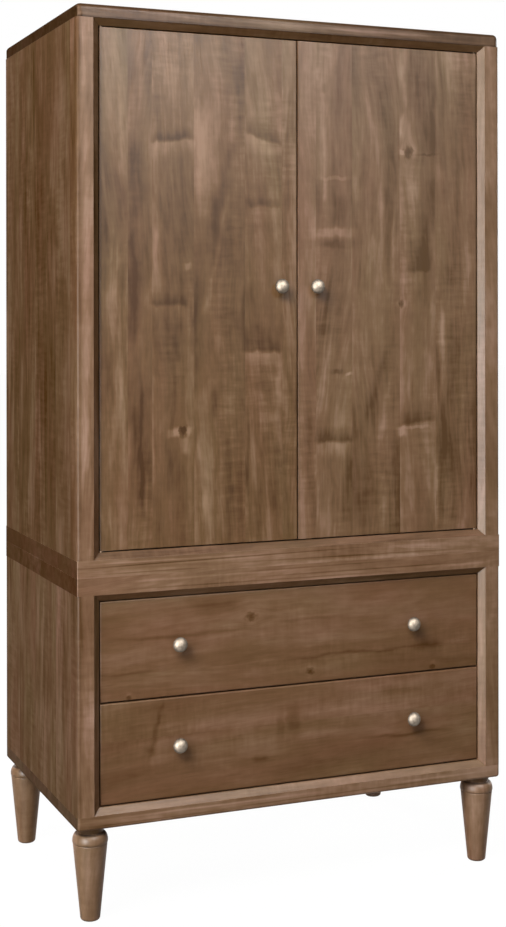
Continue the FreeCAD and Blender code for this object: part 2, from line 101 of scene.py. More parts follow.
@dataclass(frozen=True)
class Block:
    """A box-shaped space, from its lowest to its highest corner, in metres."""

    low: Vector
    high: Vector

    @classmethod
    def of(cls, node: str) -> "Block":
        """The space that a node of the frame takes at rest."""
        return cls.between(*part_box(node))

    @classmethod
    def between(cls, low: Iterable[float], high: Iterable[float]) -> "Block":
        """The space between two corners."""
        return cls(Vector(low), Vector(high))

    @property
    def size(self) -> Vector:
        """How long the block is along each axis."""
        return self.high - self.low

    @property
    def middle(self) -> Vector:
        """The middle of the block."""
        return (self.low + self.high) / 2

    def end(self, axis: int, side: int) -> float:
        """Where the block ends along an axis, on its low side (minus one) or its high side (one)."""
        return (self.high if side > 0 else self.low)[axis]


class Shape:
    """A solid that is being worked, kept as one bmesh in metres."""

    def __init__(self, mesh: bmesh.types.BMesh) -> None:
        """Take a bmesh to work on."""
        self.mesh = mesh

    @classmethod
    def block(cls, space: Block) -> "Shape":
        """Saw a plain block to size.

        Args:
            space: The space that the block fills.

        Returns:
            The block.
        """
        mesh = bmesh.new()
        bmesh.ops.create_cube(mesh, size=1.0)
        bmesh.ops.scale(mesh, vec=space.size, verts=mesh.verts)
        return cls(mesh).move(space.middle)

    @classmethod
    def turned(cls, profile: Profile, steps: int) -> "Shape":
        """Turn a solid about the Z axis.

        Args:
            profile: The radius and height of each point, from one end of the axis to the other.
            steps: The number of faces round the solid.

        Returns:
            The turned solid, closed at both poles.
        """
        mesh = bmesh.new()
        verts = [mesh.verts.new((radius, 0, height)) for radius, height in profile]
        edges = [mesh.edges.new(pair) for pair in zip(verts, verts[1:])]
        bmesh.ops.spin(
            mesh,
            geom=verts + edges,
            cent=(0, 0, 0),
            axis=ALONG_Z,
            dvec=(0, 0, 0),
            angle=2 * math.pi,
            steps=steps,
            use_merge=True,
            use_normal_flip=False,
            use_duplicate=False,
        )
        bmesh.ops.remove_doubles(mesh, verts=mesh.verts, dist=MERGE)
        bmesh.ops.recalc_face_normals(mesh, faces=mesh.faces)
        return cls(mesh)

    @classmethod
    def rod(cls, radius: float, start: Vector, run: Vector, sides: int = 24) -> "Shape":
        """Make a round rod.

        Args:
            radius: The radius of the rod.
            start: The middle of its first end.
            run: The way from its first end to its last.
            sides: The number of faces round it.

        Returns:
            The rod.
        """
        mesh = bmesh.new()
        bmesh.ops.create_cone(
            mesh, cap_ends=True, segments=sides, radius1=radius, radius2=radius, depth=run.length
        )
        return cls(mesh).turn(ALONG_Z.rotation_difference(run).to_matrix()).move(start + run / 2)

    @classmethod
    def joined(cls, parts: Iterable["Shape"]) -> "Shape":
        """Put solids beside one another in one mesh.

        Args:
            parts: The solids, used up by this.

        Returns:
            The solids as one shape.
        """
        first, *others = parts
        for other in others:
            loose = bpy.data.meshes.new("loose")
            other.mesh.to_mesh(loose)
            first.mesh.from_mesh(loose)
            bpy.data.meshes.remove(loose)
            other.mesh.free()
        return first

    def copy(self) -> "Shape":
        """Make another solid like this one."""
        return Shape(self.mesh.copy())

    def turn(self, matrix: Matrix) -> "Shape":
        """Turn the solid about the origin."""
        bmesh.ops.rotate(self.mesh, cent=(0, 0, 0), matrix=matrix, verts=self.mesh.verts)
        return self

    def move(self, by: Vector) -> "Shape":
        """Move the solid."""
        bmesh.ops.translate(self.mesh, vec=by, verts=self.mesh.verts)
        return self

    def divide(self, point: Vector, normal: Vector, clear: bool = False) -> list[bmesh.types.BMEdge]:
        """Divide the faces where a plane passes through them.

        Args:
            point: A point of the plane.
            normal: The way that the plane faces.
            clear: Whether what lies past the plane goes.

        Returns:
            The edges in the plane.
        """
        geometry = self.mesh.verts[:] + self.mesh.edges[:] + self.mesh.faces[:]
        cut = bmesh.ops.bisect_plane(
            self.mesh, geom=geometry, dist=MERGE, plane_co=point, plane_no=normal, clear_outer=clear
        )
        return [item for item in cut["geom_cut"] if isinstance(item, bmesh.types.BMEdge)]

    def saw(self, point: Vector, outward: Vector) -> "Shape":
        """Saw off what lies past a plane and close the cut.

        Args:
            point: A point of the plane.
            outward: The way to the part that goes.

        Returns:
            The solid.
        """
        rim = self.divide(point, outward, clear=True)
        bmesh.ops.holes_fill(self.mesh, edges=rim, sides=0)
        bmesh.ops.recalc_face_normals(self.mesh, faces=self.mesh.faces)
        return self

    def round(self, radius: float, segments: int, wanted: EdgeTest) -> "Shape":
        """Round some edges.

        Args:
            radius: The radius of the round.
            segments: The number of faces across it.
            wanted: Says of an edge whether it is rounded.

        Returns:
            The solid.
        """
        bmesh.ops.bevel(
            self.mesh,
            geom=[edge for edge in self.mesh.edges if wanted(edge)],
            offset=radius,
            offset_type="OFFSET",
            affect="EDGES",
            segments=segments,
            profile=0.5,
            material=-1,
            clamp_overlap=True,
        )
        return self

    def ease(self, width: float, shortest: float = 0.009) -> "Shape":
        """Take the sharpness off every edge over a shortest length, as fine sandpaper does."""
        return self.round(width, 2, lambda edge: is_sharp(edge) and edge.calc_length() > shortest)

    def carve(self, *cutters: "Shape") -> "Shape":
        """Cut other solids out of this one.

        Args:
            cutters: The solids to cut away, used up by the cut.

        Returns:
            The solid.
        """
        stock, blade = self._as_object("stock"), Shape.joined(cutters)._as_object("blade")
        cut = stock.modifiers.new("cut", "BOOLEAN")
        cut.operation = "DIFFERENCE"
        cut.solver = "EXACT"
        cut.object = blade
        done = bpy.data.meshes.new_from_object(stock.evaluated_get(bpy.context.evaluated_depsgraph_get()))
        self.mesh = bmesh.new()
        self.mesh.from_mesh(done)
        for data in (stock.data, blade.data, done):
            bpy.data.meshes.remove(data)
        return self

    def _as_object(self, name: str) -> bpy.types.Object:
        """Turn the bmesh into a linked object, which uses it up.

        Args:
            name: The name of the object.

        Returns:
            The object.
        """
        data = bpy.data.meshes.new(name)
        self.mesh.to_mesh(data)
        self.mesh.free()
        made = bpy.data.objects.new(name, data)
        bpy.context.scene.collection.objects.link(made)
        return made

    def staves(self, seed: str, axis: int, joints: tuple[float, ...]) -> "Shape":
        """Divide the faces at the glue joints and give each stave its own figure, tone and warmth.

        Args:
            seed: The name that the draws start from.
            axis: The axis that the joints are spaced along.
            joints: Where the joints are, in rising order.

        Returns:
            The solid.
        """
        normal = Vector([float(n == axis) for n in range(3)])
        for joint in joints:
            self.divide(normal * joint, normal)
        draw = random.Random(seed)
        staves = [Vector((draw.random(), draw.random(), draw.random())) for _ in range(len(joints) + 1)]
        layer = self.mesh.faces.layers.float_vector.new(STAVE_ATTRIBUTE)
        for face in self.mesh.faces:
            middle = face.calc_center_median()[axis]
            face[layer] = staves[sum(joint < middle for joint in joints)]
        return self

    def finish(self, name: str) -> bpy.types.Object:
        """Turn the bmesh into a finished object.

        Args:
            name: The name of the piece.

        Returns:
            The object, with smooth rounds between flat faces.
        """
        made = self._as_object(name)
        made.data.shade_smooth()
        made.data.set_sharp_from_angle(angle=SHARP_ANGLE)
        even = made.modifiers.new("even_normals", "WEIGHTED_NORMAL")
        even.keep_sharp = True
        return made


def is_sharp(edge: bmesh.types.BMEdge) -> bool:
    """Whether two faces meet at the edge at a clear angle."""
    return len(edge.link_faces) == 2 and edge.calc_face_angle(0.0) > SHARP_FOLD


def is_upright(edge: bmesh.types.BMEdge) -> bool:
    """Whether an edge stands upright."""
    return abs((edge.verts[1].co - edge.verts[0].co).normalized().z) > PARALLEL


def middle_of(edge: bmesh.types.BMEdge) -> Vector:
    """The middle of an edge."""
    return (edge.verts[0].co + edge.verts[1].co) / 2


def on_plane(axis: int, place: float) -> EdgeTest:
    """A test of whether the middle of an edge lies in the plane at one place along an axis."""
    return lambda edge: abs(middle_of(edge)[axis] - place) < MERGE


def at_corner(space: Block, side: int, back: int) -> EdgeTest:
    """Make a test for one upright corner of a block.

    Args:
        space: The block.
        side: Minus one for its left corners and one for its right ones.
        back: Minus one for its front corners and one for its back ones.

    Returns:
        The test.
    """

    def wanted(edge: bmesh.types.BMEdge) -> bool:
        """Whether an edge is that corner."""
        away = middle_of(edge) - space.middle
        return is_upright(edge) and away.x * side > 0 and away.y * back > 0

    return wanted


def quarter(steps: int) -> list[float]:
    """The angles of a quarter turn, in even steps."""
    return [math.pi / 2 * n / steps for n in range(steps + 1)]


# Colours

TONE_SHARES = (1.03, 0.98, 1.10)
ROSY = (1.05, 0.94, 1.00, 1.0)
OLIVE = (0.95, 1.04, 0.95, 1.0)
WHITE = (1.0, 1.0, 1.0, 1.0)


def colour(code: str) -> Colour:
    """Turn a six-digit colour code into the linear colour that a shader takes.

    Args:
        code: Red, green and blue, two hexadecimal digits each.

    Returns:
        The linear colour, with an alpha of one.
    """
    parts = [int(code[n : n + 2], 16) / 255 for n in (0, 2, 4)]
    linear = [p / 12.92 if p <= 0.04045 else ((p + 0.055) / 1.055) ** 2.4 for p in parts]
    return (*linear, 1.0)


def toned(code: str, step: float) -> Colour:
    """Make a colour deeper or paler, as light and dark wood differ: blue moves a little more than green.

    Args:
        code: The colour's six-digit code.
        step: The step, on the code's own scale from 0 to 255.

    Returns:
        The linear colour, with an alpha of one.
    """
    moved = [int(code[n : n + 2], 16) + step * share for n, share in zip((0, 2, 4), TONE_SHARES)]
    return colour("".join(f"{min(255, max(4, round(part))):02x}" for part in moved))


# Node trees


class Wiring:
    """A node tree that is being wired, with short calls for the nodes that finishes use."""

    def __init__(self, tree: bpy.types.NodeTree) -> None:
        """Start on an empty tree."""
        self.tree = tree
        self.tree.nodes.clear()

    @classmethod
    def material(cls, name: str) -> tuple[bpy.types.Material, "Wiring"]:
        """Start a material.

        Args:
            name: Its name.

        Returns:
            The material and its wiring.
        """
        made = bpy.data.materials.new(name)
        made.use_nodes = True
        return made, cls(made.node_tree)

    def node(
        self, kind: str, inputs: dict[str | int, object] | None = None, **settings: object
    ) -> bpy.types.Node:
        """Add a node.

        Args:
            kind: Its type.
            inputs: What each input is linked or set to, by name or number.
            settings: Its own settings.

        Returns:
            The node.
        """
        made = self.tree.nodes.new(kind)
        for key, setting in settings.items():
            setattr(made, key, setting)
        for key, given in (inputs or {}).items():
            self.feed(made.inputs[key], given)
        return made

    def feed(self, socket: Socket, given: object) -> None:
        """Link a socket or set its value.

        Args:
            socket: The socket.
            given: The socket that it is linked to, or its value.
        """
        if isinstance(given, bpy.types.NodeSocket):
            self.tree.links.new(given, socket)
        else:
            socket.default_value = given

    def surface(self, inputs: dict[str, object]) -> None:
        """Wire the surface of a material."""
        shader = self.node("ShaderNodeBsdfPrincipled", inputs)
        self.node("ShaderNodeOutputMaterial", {"Surface": shader.outputs[0]})

    def math(self, operation: str, *given: Value, clamp: bool = False) -> Socket:
        """Work out one number from others."""
        made = self.node("ShaderNodeMath", dict(enumerate(given)), operation=operation, use_clamp=clamp)
        return made.outputs[0]

    def plus(self, first: Value, second: Value) -> Socket:
        """Add two numbers."""
        return self.math("ADD", first, second)

    def minus(self, first: Value, second: Value) -> Socket:
        """Take one number from another."""
        return self.math("SUBTRACT", first, second)

    def times(self, first: Value, second: Value) -> Socket:
        """Multiply two numbers."""
        return self.math("MULTIPLY", first, second)

    def over(self, first: Value, second: Value) -> Socket:
        """Divide one number by another."""
        return self.math("DIVIDE", first, second)

    def total(self, parts: list[Socket]) -> Socket:
        """Add up numbers.

        Args:
            parts: The numbers, at least one.

        Returns:
            Their sum.
        """
        result, *others = parts
        for part in others:
            result = self.plus(result, part)
        return result

    def swing(self, noise: Socket, amount: Value) -> Socket:
        """Turn a noise about a half into a swing about zero."""
        return self.times(self.minus(noise, 0.5), amount)

    def remap(
        self, value: Value, low: Value, high: Value, to_low: Value = 0.0, to_high: Value = 1.0
    ) -> Socket:
        """Carry a number smoothly from one range to another."""
        inputs = {"Value": value, 1: low, 2: high, 3: to_low, 4: to_high}
        return self.node("ShaderNodeMapRange", inputs, interpolation_type="SMOOTHSTEP").outputs[0]

    def parts(self, vector: Socket) -> list[Socket]:
        """Take a vector apart."""
        return list(self.node("ShaderNodeSeparateXYZ", {0: vector}).outputs)

    def vector(self, x: Value, y: Value, z: Value) -> Socket:
        """Put a vector together."""
        return self.node("ShaderNodeCombineXYZ", {0: x, 1: y, 2: z}).outputs[0]

    def vectors(self, operation: str, first: Socket, second: object) -> Socket:
        """Work out one vector from two."""
        return self.node("ShaderNodeVectorMath", {0: first, 1: second}, operation=operation).outputs[0]

    def noise(
        self, place: Socket, across: float, along: float, detail: float = 2.0, roughness: float = 0.5
    ) -> Socket:
        """A soft noise, of one fineness across the grain and another along it.

        Args:
            place: The place on the board.
            across: How fine it is across the grain.
            along: How fine it is along the grain.
            detail: How many finer layers it has.
            roughness: How strong the finer layers are.

        Returns:
            The noise, about a half.
        """
        moved = self.vectors("MULTIPLY", place, (across, across, along))
        inputs = {"Vector": moved, "Scale": 1.0, "Detail": detail, "Roughness": roughness}
        return self.node("ShaderNodeTexNoise", inputs, noise_dimensions="3D").outputs[0]

    def mix(self, factor: Value, first: object, second: object, blend: str = "MIX") -> Socket:
        """Mix two colours."""
        inputs = {0: factor, 6: first, 7: second}
        return self.node("ShaderNodeMix", inputs, data_type="RGBA", blend_type=blend).outputs[2]

    def ramp(self, factor: Socket, stops: list[tuple[float, Colour]]) -> Socket:
        """Look a colour up along a row of stops.

        Args:
            factor: The place along the row.
            stops: The place and the colour of each stop.

        Returns:
            The colour.
        """
        made = self.node("ShaderNodeValToRGB", {0: factor})
        row = made.color_ramp.elements
        while len(row) < len(stops):
            row.new(0.5)
        for element, (place, tint) in zip(row, stops):
            element.position = place
            element.color = tint
        return made.outputs[0]

    def bump(self, height: Socket, distance: float, strength: float) -> Socket:
        """Turn a height into a normal."""
        inputs = {"Height": height, "Distance": distance, "Strength": strength}
        return self.node("ShaderNodeBump", inputs).outputs[0]

    def seen(self) -> Socket:
        """Tell the rays that show a thing from those that light it.

        Returns:
            One for rays from the camera, a mirror or glass, and nought for the rest.
        """
        path = self.node("ShaderNodeLightPath").outputs
        glossy = self.math("MAXIMUM", path["Is Glossy Ray"], path["Is Transmission Ray"])
        return self.math("MAXIMUM", path["Is Camera Ray"], glossy)

    def blend(self, share: Value, first: bpy.types.Node, second: bpy.types.Node, output: str) -> None:
        """Blend two shaders and put them out as a world or a material."""
        mixed = self.node("ShaderNodeMixShader", {0: share, 1: first.outputs[0], 2: second.outputs[0]})
        self.node(output, {"Surface": mixed.outputs[0]})


class Effect:
    """A shader node group with named inputs and outputs, built once and shared by the finishes."""

    def __init__(
        self, name: str, points: tuple[str, ...], numbers: tuple[str, ...], results: tuple[str, ...]
    ) -> None:
        """Start a group.

        Args:
            name: The name of the group.
            points: Its inputs that are vectors.
            numbers: Its inputs that are numbers.
            results: Its outputs, all numbers.
        """
        self.tree = bpy.data.node_groups.new(name, "ShaderNodeTree")
        self.wiring = Wiring(self.tree)
        for way, kind, sockets in (
            ("INPUT", "NodeSocketVector", points),
            ("INPUT", "NodeSocketFloat", numbers),
            ("OUTPUT", "NodeSocketFloat", results),
        ):
            for socket in sockets:
                self.tree.interface.new_socket(socket, in_out=way, socket_type=kind)
        self.source = self.wiring.node("NodeGroupInput")
        self.target = self.wiring.node("NodeGroupOutput")

    def given(self, name: str) -> Socket:
        """What the group is given under a name."""
        return self.source.outputs[name]

    def away(self) -> tuple[Socket, Socket]:
        """How far the place is from the centre, across and along the grain."""
        across, _, along = self.wiring.parts(
            self.wiring.vectors("SUBTRACT", self.given("Place"), self.given("Centre"))
        )
        return across, along

    def gives(self, **results: Socket) -> "Effect":
        """Wire what the group puts out.

        Args:
            results: What goes to each output.

        Returns:
            The group.
        """
        for name, result in results.items():
            self.wiring.feed(self.target.inputs[name], result)
        return self

    def placed(self, wiring: Wiring, inputs: dict[str, object]) -> bpy.types.bpy_prop_collection:
        """Place the group in another tree and hand out its outputs."""
        return wiring.node("ShaderNodeGroup", inputs, node_tree=self.tree).outputs


def make_figure() -> Effect:
    """Build the figure of a plank: broad bands, clouds, streaks, curl, lines, fibres and pores.

    Returns:
        The effect. Its place is across, through and along the grain.
    """
    results = ("Tone", "Warmth", "Gloss", "Pores", "Height")
    figure = Effect("wood_figure", ("Place", "Stave"), ("Shift", "Flow"), results)
    w = figure.wiring
    moved = w.vectors("MULTIPLY", figure.given("Stave"), (3.7, 5.3, 7.9))
    place = w.vectors("ADD", figure.given("Place"), moved)
    slow = w.swing(w.noise(place, 3.2, 1.5, 1.5), 0.16)
    quick = w.swing(w.noise(place, 12.0, 5.0), 0.020)
    sway = w.times(w.plus(slow, quick), figure.given("Flow"))
    across, through, along = w.parts(place)
    grain = w.vector(w.plus(w.plus(across, sway), figure.given("Shift")), through, along)
    streaks = w.noise(grain, 44.0, 4.0, 3.5, 0.6)
    busy = w.remap(w.noise(place, 5.0, 2.2, 1.0), 0.36, 0.64, 0.45, 1.35)
    curled = w.remap(w.noise(place, 9.0, 3.0, 1.0), 0.46, 0.68, 0.22, 1.0)
    tone = w.total(
        [
            w.swing(w.noise(grain, 15.0, 1.0), 0.85),
            w.swing(w.noise(place, 8.0, 5.0), 0.75),
            w.times(w.swing(streaks, 1.28), busy),
            w.swing(w.noise(grain, 23.0, 9.0, 3.0, 0.62), 0.62),
            w.swing(w.noise(grain, 78.0, 26.0), 0.42),
            w.swing(w.noise(grain, 170.0, 9.0, 1.0), 0.27),
            w.times(w.swing(w.noise(place, 17.0, 88.0), 0.62), curled),
        ]
    )
    warmth = w.noise(grain, 13.0, 3.0)
    fibres = w.noise(grain, 1300.0, 26.0)
    pores = w.remap(w.noise(grain, 760.0, 19.0, 1.0), 0.60, 0.72)
    height = w.minus(w.plus(w.times(streaks, 0.6), fibres), pores)
    return figure.gives(Tone=tone, Warmth=warmth, Gloss=streaks, Pores=pores, Height=height)


def make_knot() -> Effect:
    """Build a knot: a dark heart, pale wings beside it, and grain that parts round it.

    Returns:
        The effect.
    """
    knot = Effect("wood_knot", ("Place", "Centre"), ("Radius",), ("Heart", "Wings", "Shift"))
    w = knot.wiring
    across, along = knot.away()
    wobble = w.swing(w.noise(knot.given("Place"), 110.0, 80.0, 3.0), 2.0)
    side = w.over(across, knot.given("Radius"))
    up = w.over(along, w.times(knot.given("Radius"), 1.3))
    squared = w.plus(w.math("POWER", side, 2.0), w.math("POWER", up, 2.0))
    reach = w.plus(w.math("SQRT", squared), wobble)
    ring = w.math("SUBTRACT", w.remap(reach, 3.2, 1.4), w.remap(reach, 1.3, 0.9), clamp=True)
    beside = w.remap(w.math("ABSOLUTE", up), 1.4, 0.2)
    fade = w.math("EXPONENT", w.times(squared, -0.16))
    pull = w.times(w.times(across, fade), -0.85)
    return knot.gives(Heart=w.remap(reach, 1.6, 0.1), Wings=w.times(ring, beside), Shift=pull)


def make_flame() -> Effect:
    """Build a flame: wood that darkens down to a ragged edge, with a pale glow beneath it.

    Returns:
        The effect.
    """
    flame = Effect("wood_flame", ("Place", "Centre"), ("Half Width", "Reach", "Slope"), ("Dark", "Pale"))
    w = flame.wiring
    across, along = flame.away()
    up = w.minus(along, w.times(across, flame.given("Slope")))
    within = w.remap(w.over(w.math("ABSOLUTE", across), flame.given("Half Width")), 1.15, 0.70)
    above = w.remap(up, -0.001, 0.009)
    faded = w.math("POWER", w.remap(up, flame.given("Reach"), 0.0), 1.5)
    beneath = w.times(w.remap(up, 0.004, -0.003), w.remap(up, -0.045, -0.004))
    return flame.gives(Dark=w.times(w.times(above, faded), within), Pale=w.times(beneath, within))


def make_streak() -> Effect:
    """Build a streak: a soft patch that runs with the grain or leans across it.

    Returns:
        The effect.
    """
    numbers = ("Half Width", "Half Length", "Lean")
    streak = Effect("wood_streak", ("Place", "Centre"), numbers, ("Mask",))
    w = streak.wiring
    across, along = streak.away()
    off = w.minus(across, w.times(along, streak.given("Lean")))
    side = w.over(off, streak.given("Half Width"))
    end = w.over(w.math("ABSOLUTE", along), streak.given("Half Length"))
    soft = w.math("EXPONENT", w.times(w.times(side, side), -1.0))
    return streak.gives(Mask=w.times(soft, w.remap(end, 1.3, 0.4)))


@dataclass(frozen=True)
class Effects:
    """The node groups that the finishes share."""

    figure: Effect
    knot: Effect
    flame: Effect
    streak: Effect


# Marks in the wood, and streaks of painted shade and light

MARK_DEPTH = 0.55
GLOW_DEPTH = 0.45
FRONT_FADE = (0.0045, 0.0025)


@dataclass(frozen=True)
class Knot:
    """A knot in the face of a board, placed across and along the grain, in metres."""

    across: float
    along: float
    radius: float
    darkness: float = 1.0
    wings: float = 0.5


@dataclass(frozen=True)
class Flame:
    """A flame in the face of a board, placed across and along the grain, in metres."""

    across: float
    along: float
    half_width: float
    reach: float
    slope: float = 0.0
    darkness: float = 0.6
    glow: float = 0.6


@dataclass(frozen=True)
class Streak:
    """A soft streak in the face of a board, placed across and along the grain, in metres; some are figure,
    some are painted shade or painted highlight.

    With a front given, it is straight and stays within a few millimetres of that depth.
    """

    across: float
    along: float
    half_width: float
    half_length: float
    strength: float
    lean: float = 0.0
    front: float | None = None


Mark = Knot | Flame | Streak
Marks = tuple[Mark, ...]


# Finishes

WARM_STEP = 3.0
STAVE_WARMTH = 0.3
PORE_DARKNESS = 0.16
PORE_ROUGHNESS = 0.10
GLOSS_SWING = 0.16
END_ROUGHNESS = 0.12
END_FACING = (0.55, 0.9)
END_SHARES = (1.0, 0.95, 0.9)
GRAIN_BUMP = (0.00012, 0.55)


@dataclass(frozen=True)
class WoodFinish:
    """Stained and oiled hardwood."""

    name: str
    slot: str
    tint: str
    roughness: float = 0.45
    sheen: float = 0.2
    contrast: float = 1.0
    warm_swing: float = 1.0
    stave_swing: float = 0.10
    end_shade: float = 0.45
    flow: float = 0.6
    lean: float = 0.06
    swing: float = 46.0

    def material(self, effects: Effects, grain: Grain, marks: Marks, note: str) -> bpy.types.Material:
        """Build the finish for boards whose grain runs one way.

        Args:
            effects: The shared node groups.
            grain: The way that the grain runs.
            marks: The knots, flames and streaks of the boards.
            note: A word that tells this material from others of the finish, or nothing.

        Returns:
            The material.
        """
        made, w = Wiring.material("_".join(filter(None, (self.name, grain.name.lower(), note))))
        coordinates = w.node("ShaderNodeTexCoord").outputs
        object_place = w.parts(coordinates["Object"])
        place = w.vector(*(object_place[n] for n in grain.value))
        attribute = w.node("ShaderNodeAttribute", attribute_name=STAVE_ATTRIBUTE, attribute_type="GEOMETRY")
        stave = attribute.outputs["Vector"]
        leaning, toning, warming = w.parts(stave)
        lights, shifts = self._wire_marks(w, effects, place, marks)
        lean = w.times(w.parts(place)[2], w.swing(leaning, 2 * self.lean))
        figure = effects.figure.placed(
            w, {"Place": place, "Stave": stave, "Shift": w.total([lean, *shifts]), "Flow": self.flow}
        )
        own = w.swing(toning, 2 * self.stave_swing)
        level = w.total([w.times(figure["Tone"], self.contrast), own, *lights])
        deep, pale = toned(self.tint, -self.swing), toned(self.tint, self.swing)
        wood = w.ramp(w.plus(level, 0.5), [(0.0, deep), (0.5, colour(self.tint)), (1.0, pale)])
        broad_warmth = w.swing(figure["Warmth"], WARM_STEP * self.warm_swing)
        warmth = w.plus(broad_warmth, w.swing(warming, STAVE_WARMTH))
        rosy = w.mix(w.math("MAXIMUM", warmth, 0.0), wood, ROSY, "MULTIPLY")
        olive = w.mix(w.math("MAXIMUM", w.times(warmth, -1.0), 0.0), rosy, OLIVE, "MULTIPLY")
        pored = w.mix(w.times(figure["Pores"], PORE_DARKNESS), olive, deep)
        end = w.remap(w.math("ABSOLUTE", w.parts(coordinates["Normal"])[grain.axis]), *END_FACING)
        shade = (*(self.end_shade * share for share in END_SHARES), 1.0)
        rough = w.total(
            [
                w.swing(figure["Gloss"], GLOSS_SWING),
                w.times(figure["Pores"], PORE_ROUGHNESS),
                w.times(end, END_ROUGHNESS),
            ]
        )
        w.surface(
            {
                "Base Color": w.mix(end, pored, w.mix(1.0, pored, shade, "MULTIPLY")),
                "Roughness": w.plus(rough, self.roughness),
                "Normal": w.bump(figure["Height"], *GRAIN_BUMP),
                "Specular IOR Level": self.sheen,
            },
        )
        return made

    def _wire_marks(
        self, w: Wiring, effects: Effects, place: Socket, marks: Marks
    ) -> tuple[list[Socket], list[Socket]]:
        """Place a group for each mark.

        Args:
            w: The material's wiring.
            effects: The shared node groups.
            place: The place on the board, across, through and along the grain.
            marks: The knots, flames and streaks.

        Returns:
            What they add to the tone, and how far they push the grain.
        """
        lights, shifts = [], []
        if not marks:
            return lights, shifts
        across, through, along = w.parts(place)
        ragged = w.swing(w.noise(place, 50.0, 9.0, 2.5), 0.018)
        wavy = w.swing(w.noise(place, 12.0, 9.0, 3.0), 0.024)
        level = w.vector(w.plus(across, wavy), 0.0, w.plus(along, ragged))
        flat = w.vectors("MULTIPLY", place, (1.0, 0.0, 1.0))
        for mark in marks:
            inputs = {"Place": level, "Centre": (mark.across, 0.0, mark.along)}
            if isinstance(mark, Knot):
                inputs.update({"Place": flat, "Radius": mark.radius})
                parts = effects.knot.placed(w, inputs)
                lights.append(w.times(parts["Heart"], -MARK_DEPTH * mark.darkness))
                lights.append(w.times(parts["Wings"], MARK_DEPTH * mark.wings))
                shifts.append(parts["Shift"])
            elif isinstance(mark, Flame):
                inputs.update({"Half Width": mark.half_width, "Reach": mark.reach, "Slope": mark.slope})
                parts = effects.flame.placed(w, inputs)
                lights.append(w.times(parts["Dark"], -MARK_DEPTH * mark.darkness))
                lights.append(w.times(parts["Pale"], GLOW_DEPTH * mark.glow))
            else:
                inputs.update({"Half Width": mark.half_width, "Half Length": mark.half_length})
                inputs.update({"Place": level if mark.front is None else flat, "Lean": mark.lean})
                mask = effects.streak.placed(w, inputs)["Mask"]
                if mark.front is not None:
                    mask = w.times(mask, w.remap(through, *(mark.front + step for step in FRONT_FADE)))
                lights.append(w.times(mask, MARK_DEPTH * mark.strength))
        return lights, shifts


@dataclass(frozen=True)
class MetalFinish:
    """Brushed or plated metal."""

    name: str
    slot: str
    tint: str
    shadow_tint: str
    roughness: float
    scratch: float = 1.0

    def material(self) -> bpy.types.Material:
        """Build the finish.

        Returns:
            The material.
        """
        made, w = Wiring.material(self.name)
        place = w.node("ShaderNodeTexCoord").outputs["Object"]
        cloud = w.noise(place, 160.0, 160.0, 4.0)
        fine = w.noise(place, 900.0, 6300.0)
        w.surface(
            {
                "Base Color": w.mix(w.remap(cloud, 0.35, 0.65), colour(self.shadow_tint), colour(self.tint)),
                "Metallic": 1.0,
                "Roughness": w.plus(w.swing(cloud, 0.16 * self.scratch), self.roughness),
                "Normal": w.bump(fine, 0.00002, 0.4 * self.scratch),
            },
        )
        return made


@dataclass(frozen=True)
class PlasticFinish:
    """Moulded plastic with a fine spark texture."""

    name: str
    slot: str
    tint: str
    roughness: float

    def material(self) -> bpy.types.Material:
        """Build the finish.

        Returns:
            The material.
        """
        made, w = Wiring.material(self.name)
        place = w.node("ShaderNodeTexCoord").outputs["Object"]
        spark = w.noise(place, 2200.0, 2200.0)
        wear = w.noise(place, 60.0, 60.0, 3.0)
        dull = w.mix(0.5, colour(self.tint), (0.85, 0.85, 0.85, 1.0), "MULTIPLY")
        w.surface(
            {
                "Base Color": w.mix(wear, colour(self.tint), dull),
                "Roughness": w.plus(w.swing(wear, 0.15), self.roughness),
                "Normal": w.bump(spark, 0.00003, 0.5),
            },
        )
        return made


CASE = WoodFinish(
    "case_wood", "case_wood", "86664c", sheen=0.07, contrast=0.8, warm_swing=0.5, stave_swing=0.04,
    flow=0.5, swing=42.0,
)
SLAB = replace(CASE, name="slab_wood", tint="654931", sheen=0.067, warm_swing=1.0, flow=0.3, swing=38.0)
TOP_FACE = replace(SLAB, name="top_face_wood", tint="6b4f37", roughness=0.8, sheen=0.0)
POST_SIDE = WoodFinish("post_side_wood", "case_wood", "5f452e", 0.75, 0.0, contrast=0.9, flow=0.3, swing=23.0)
SIDE = replace(POST_SIDE, name="side_wood", tint="59412b", stave_swing=0.16)
LOW_SIDE = replace(SIDE, name="low_side_wood", tint="644c37")
END = WoodFinish("end_grain", "case_wood", "4d3623", 0.9, 0.0, contrast=0.6, end_shade=1.0, swing=18.0)
SLAB_END = replace(END, name="slab_end_grain", tint="392717", swing=16.0)
# Painted light: the base board's end faces are tinted far paler than the other end grain, standing in for the
# light that falls on them.
LIT_BASE_END = WoodFinish("base_side_wood", "case_wood", "7e6550", 0.8, 0.0, contrast=0.6, flow=0.3, swing=23.0)
MOULDING = WoodFinish(
    "moulding_wood", "moulding_wood", "72573d", sheen=0.15, contrast=0.8, flow=0.3, swing=34.0
)
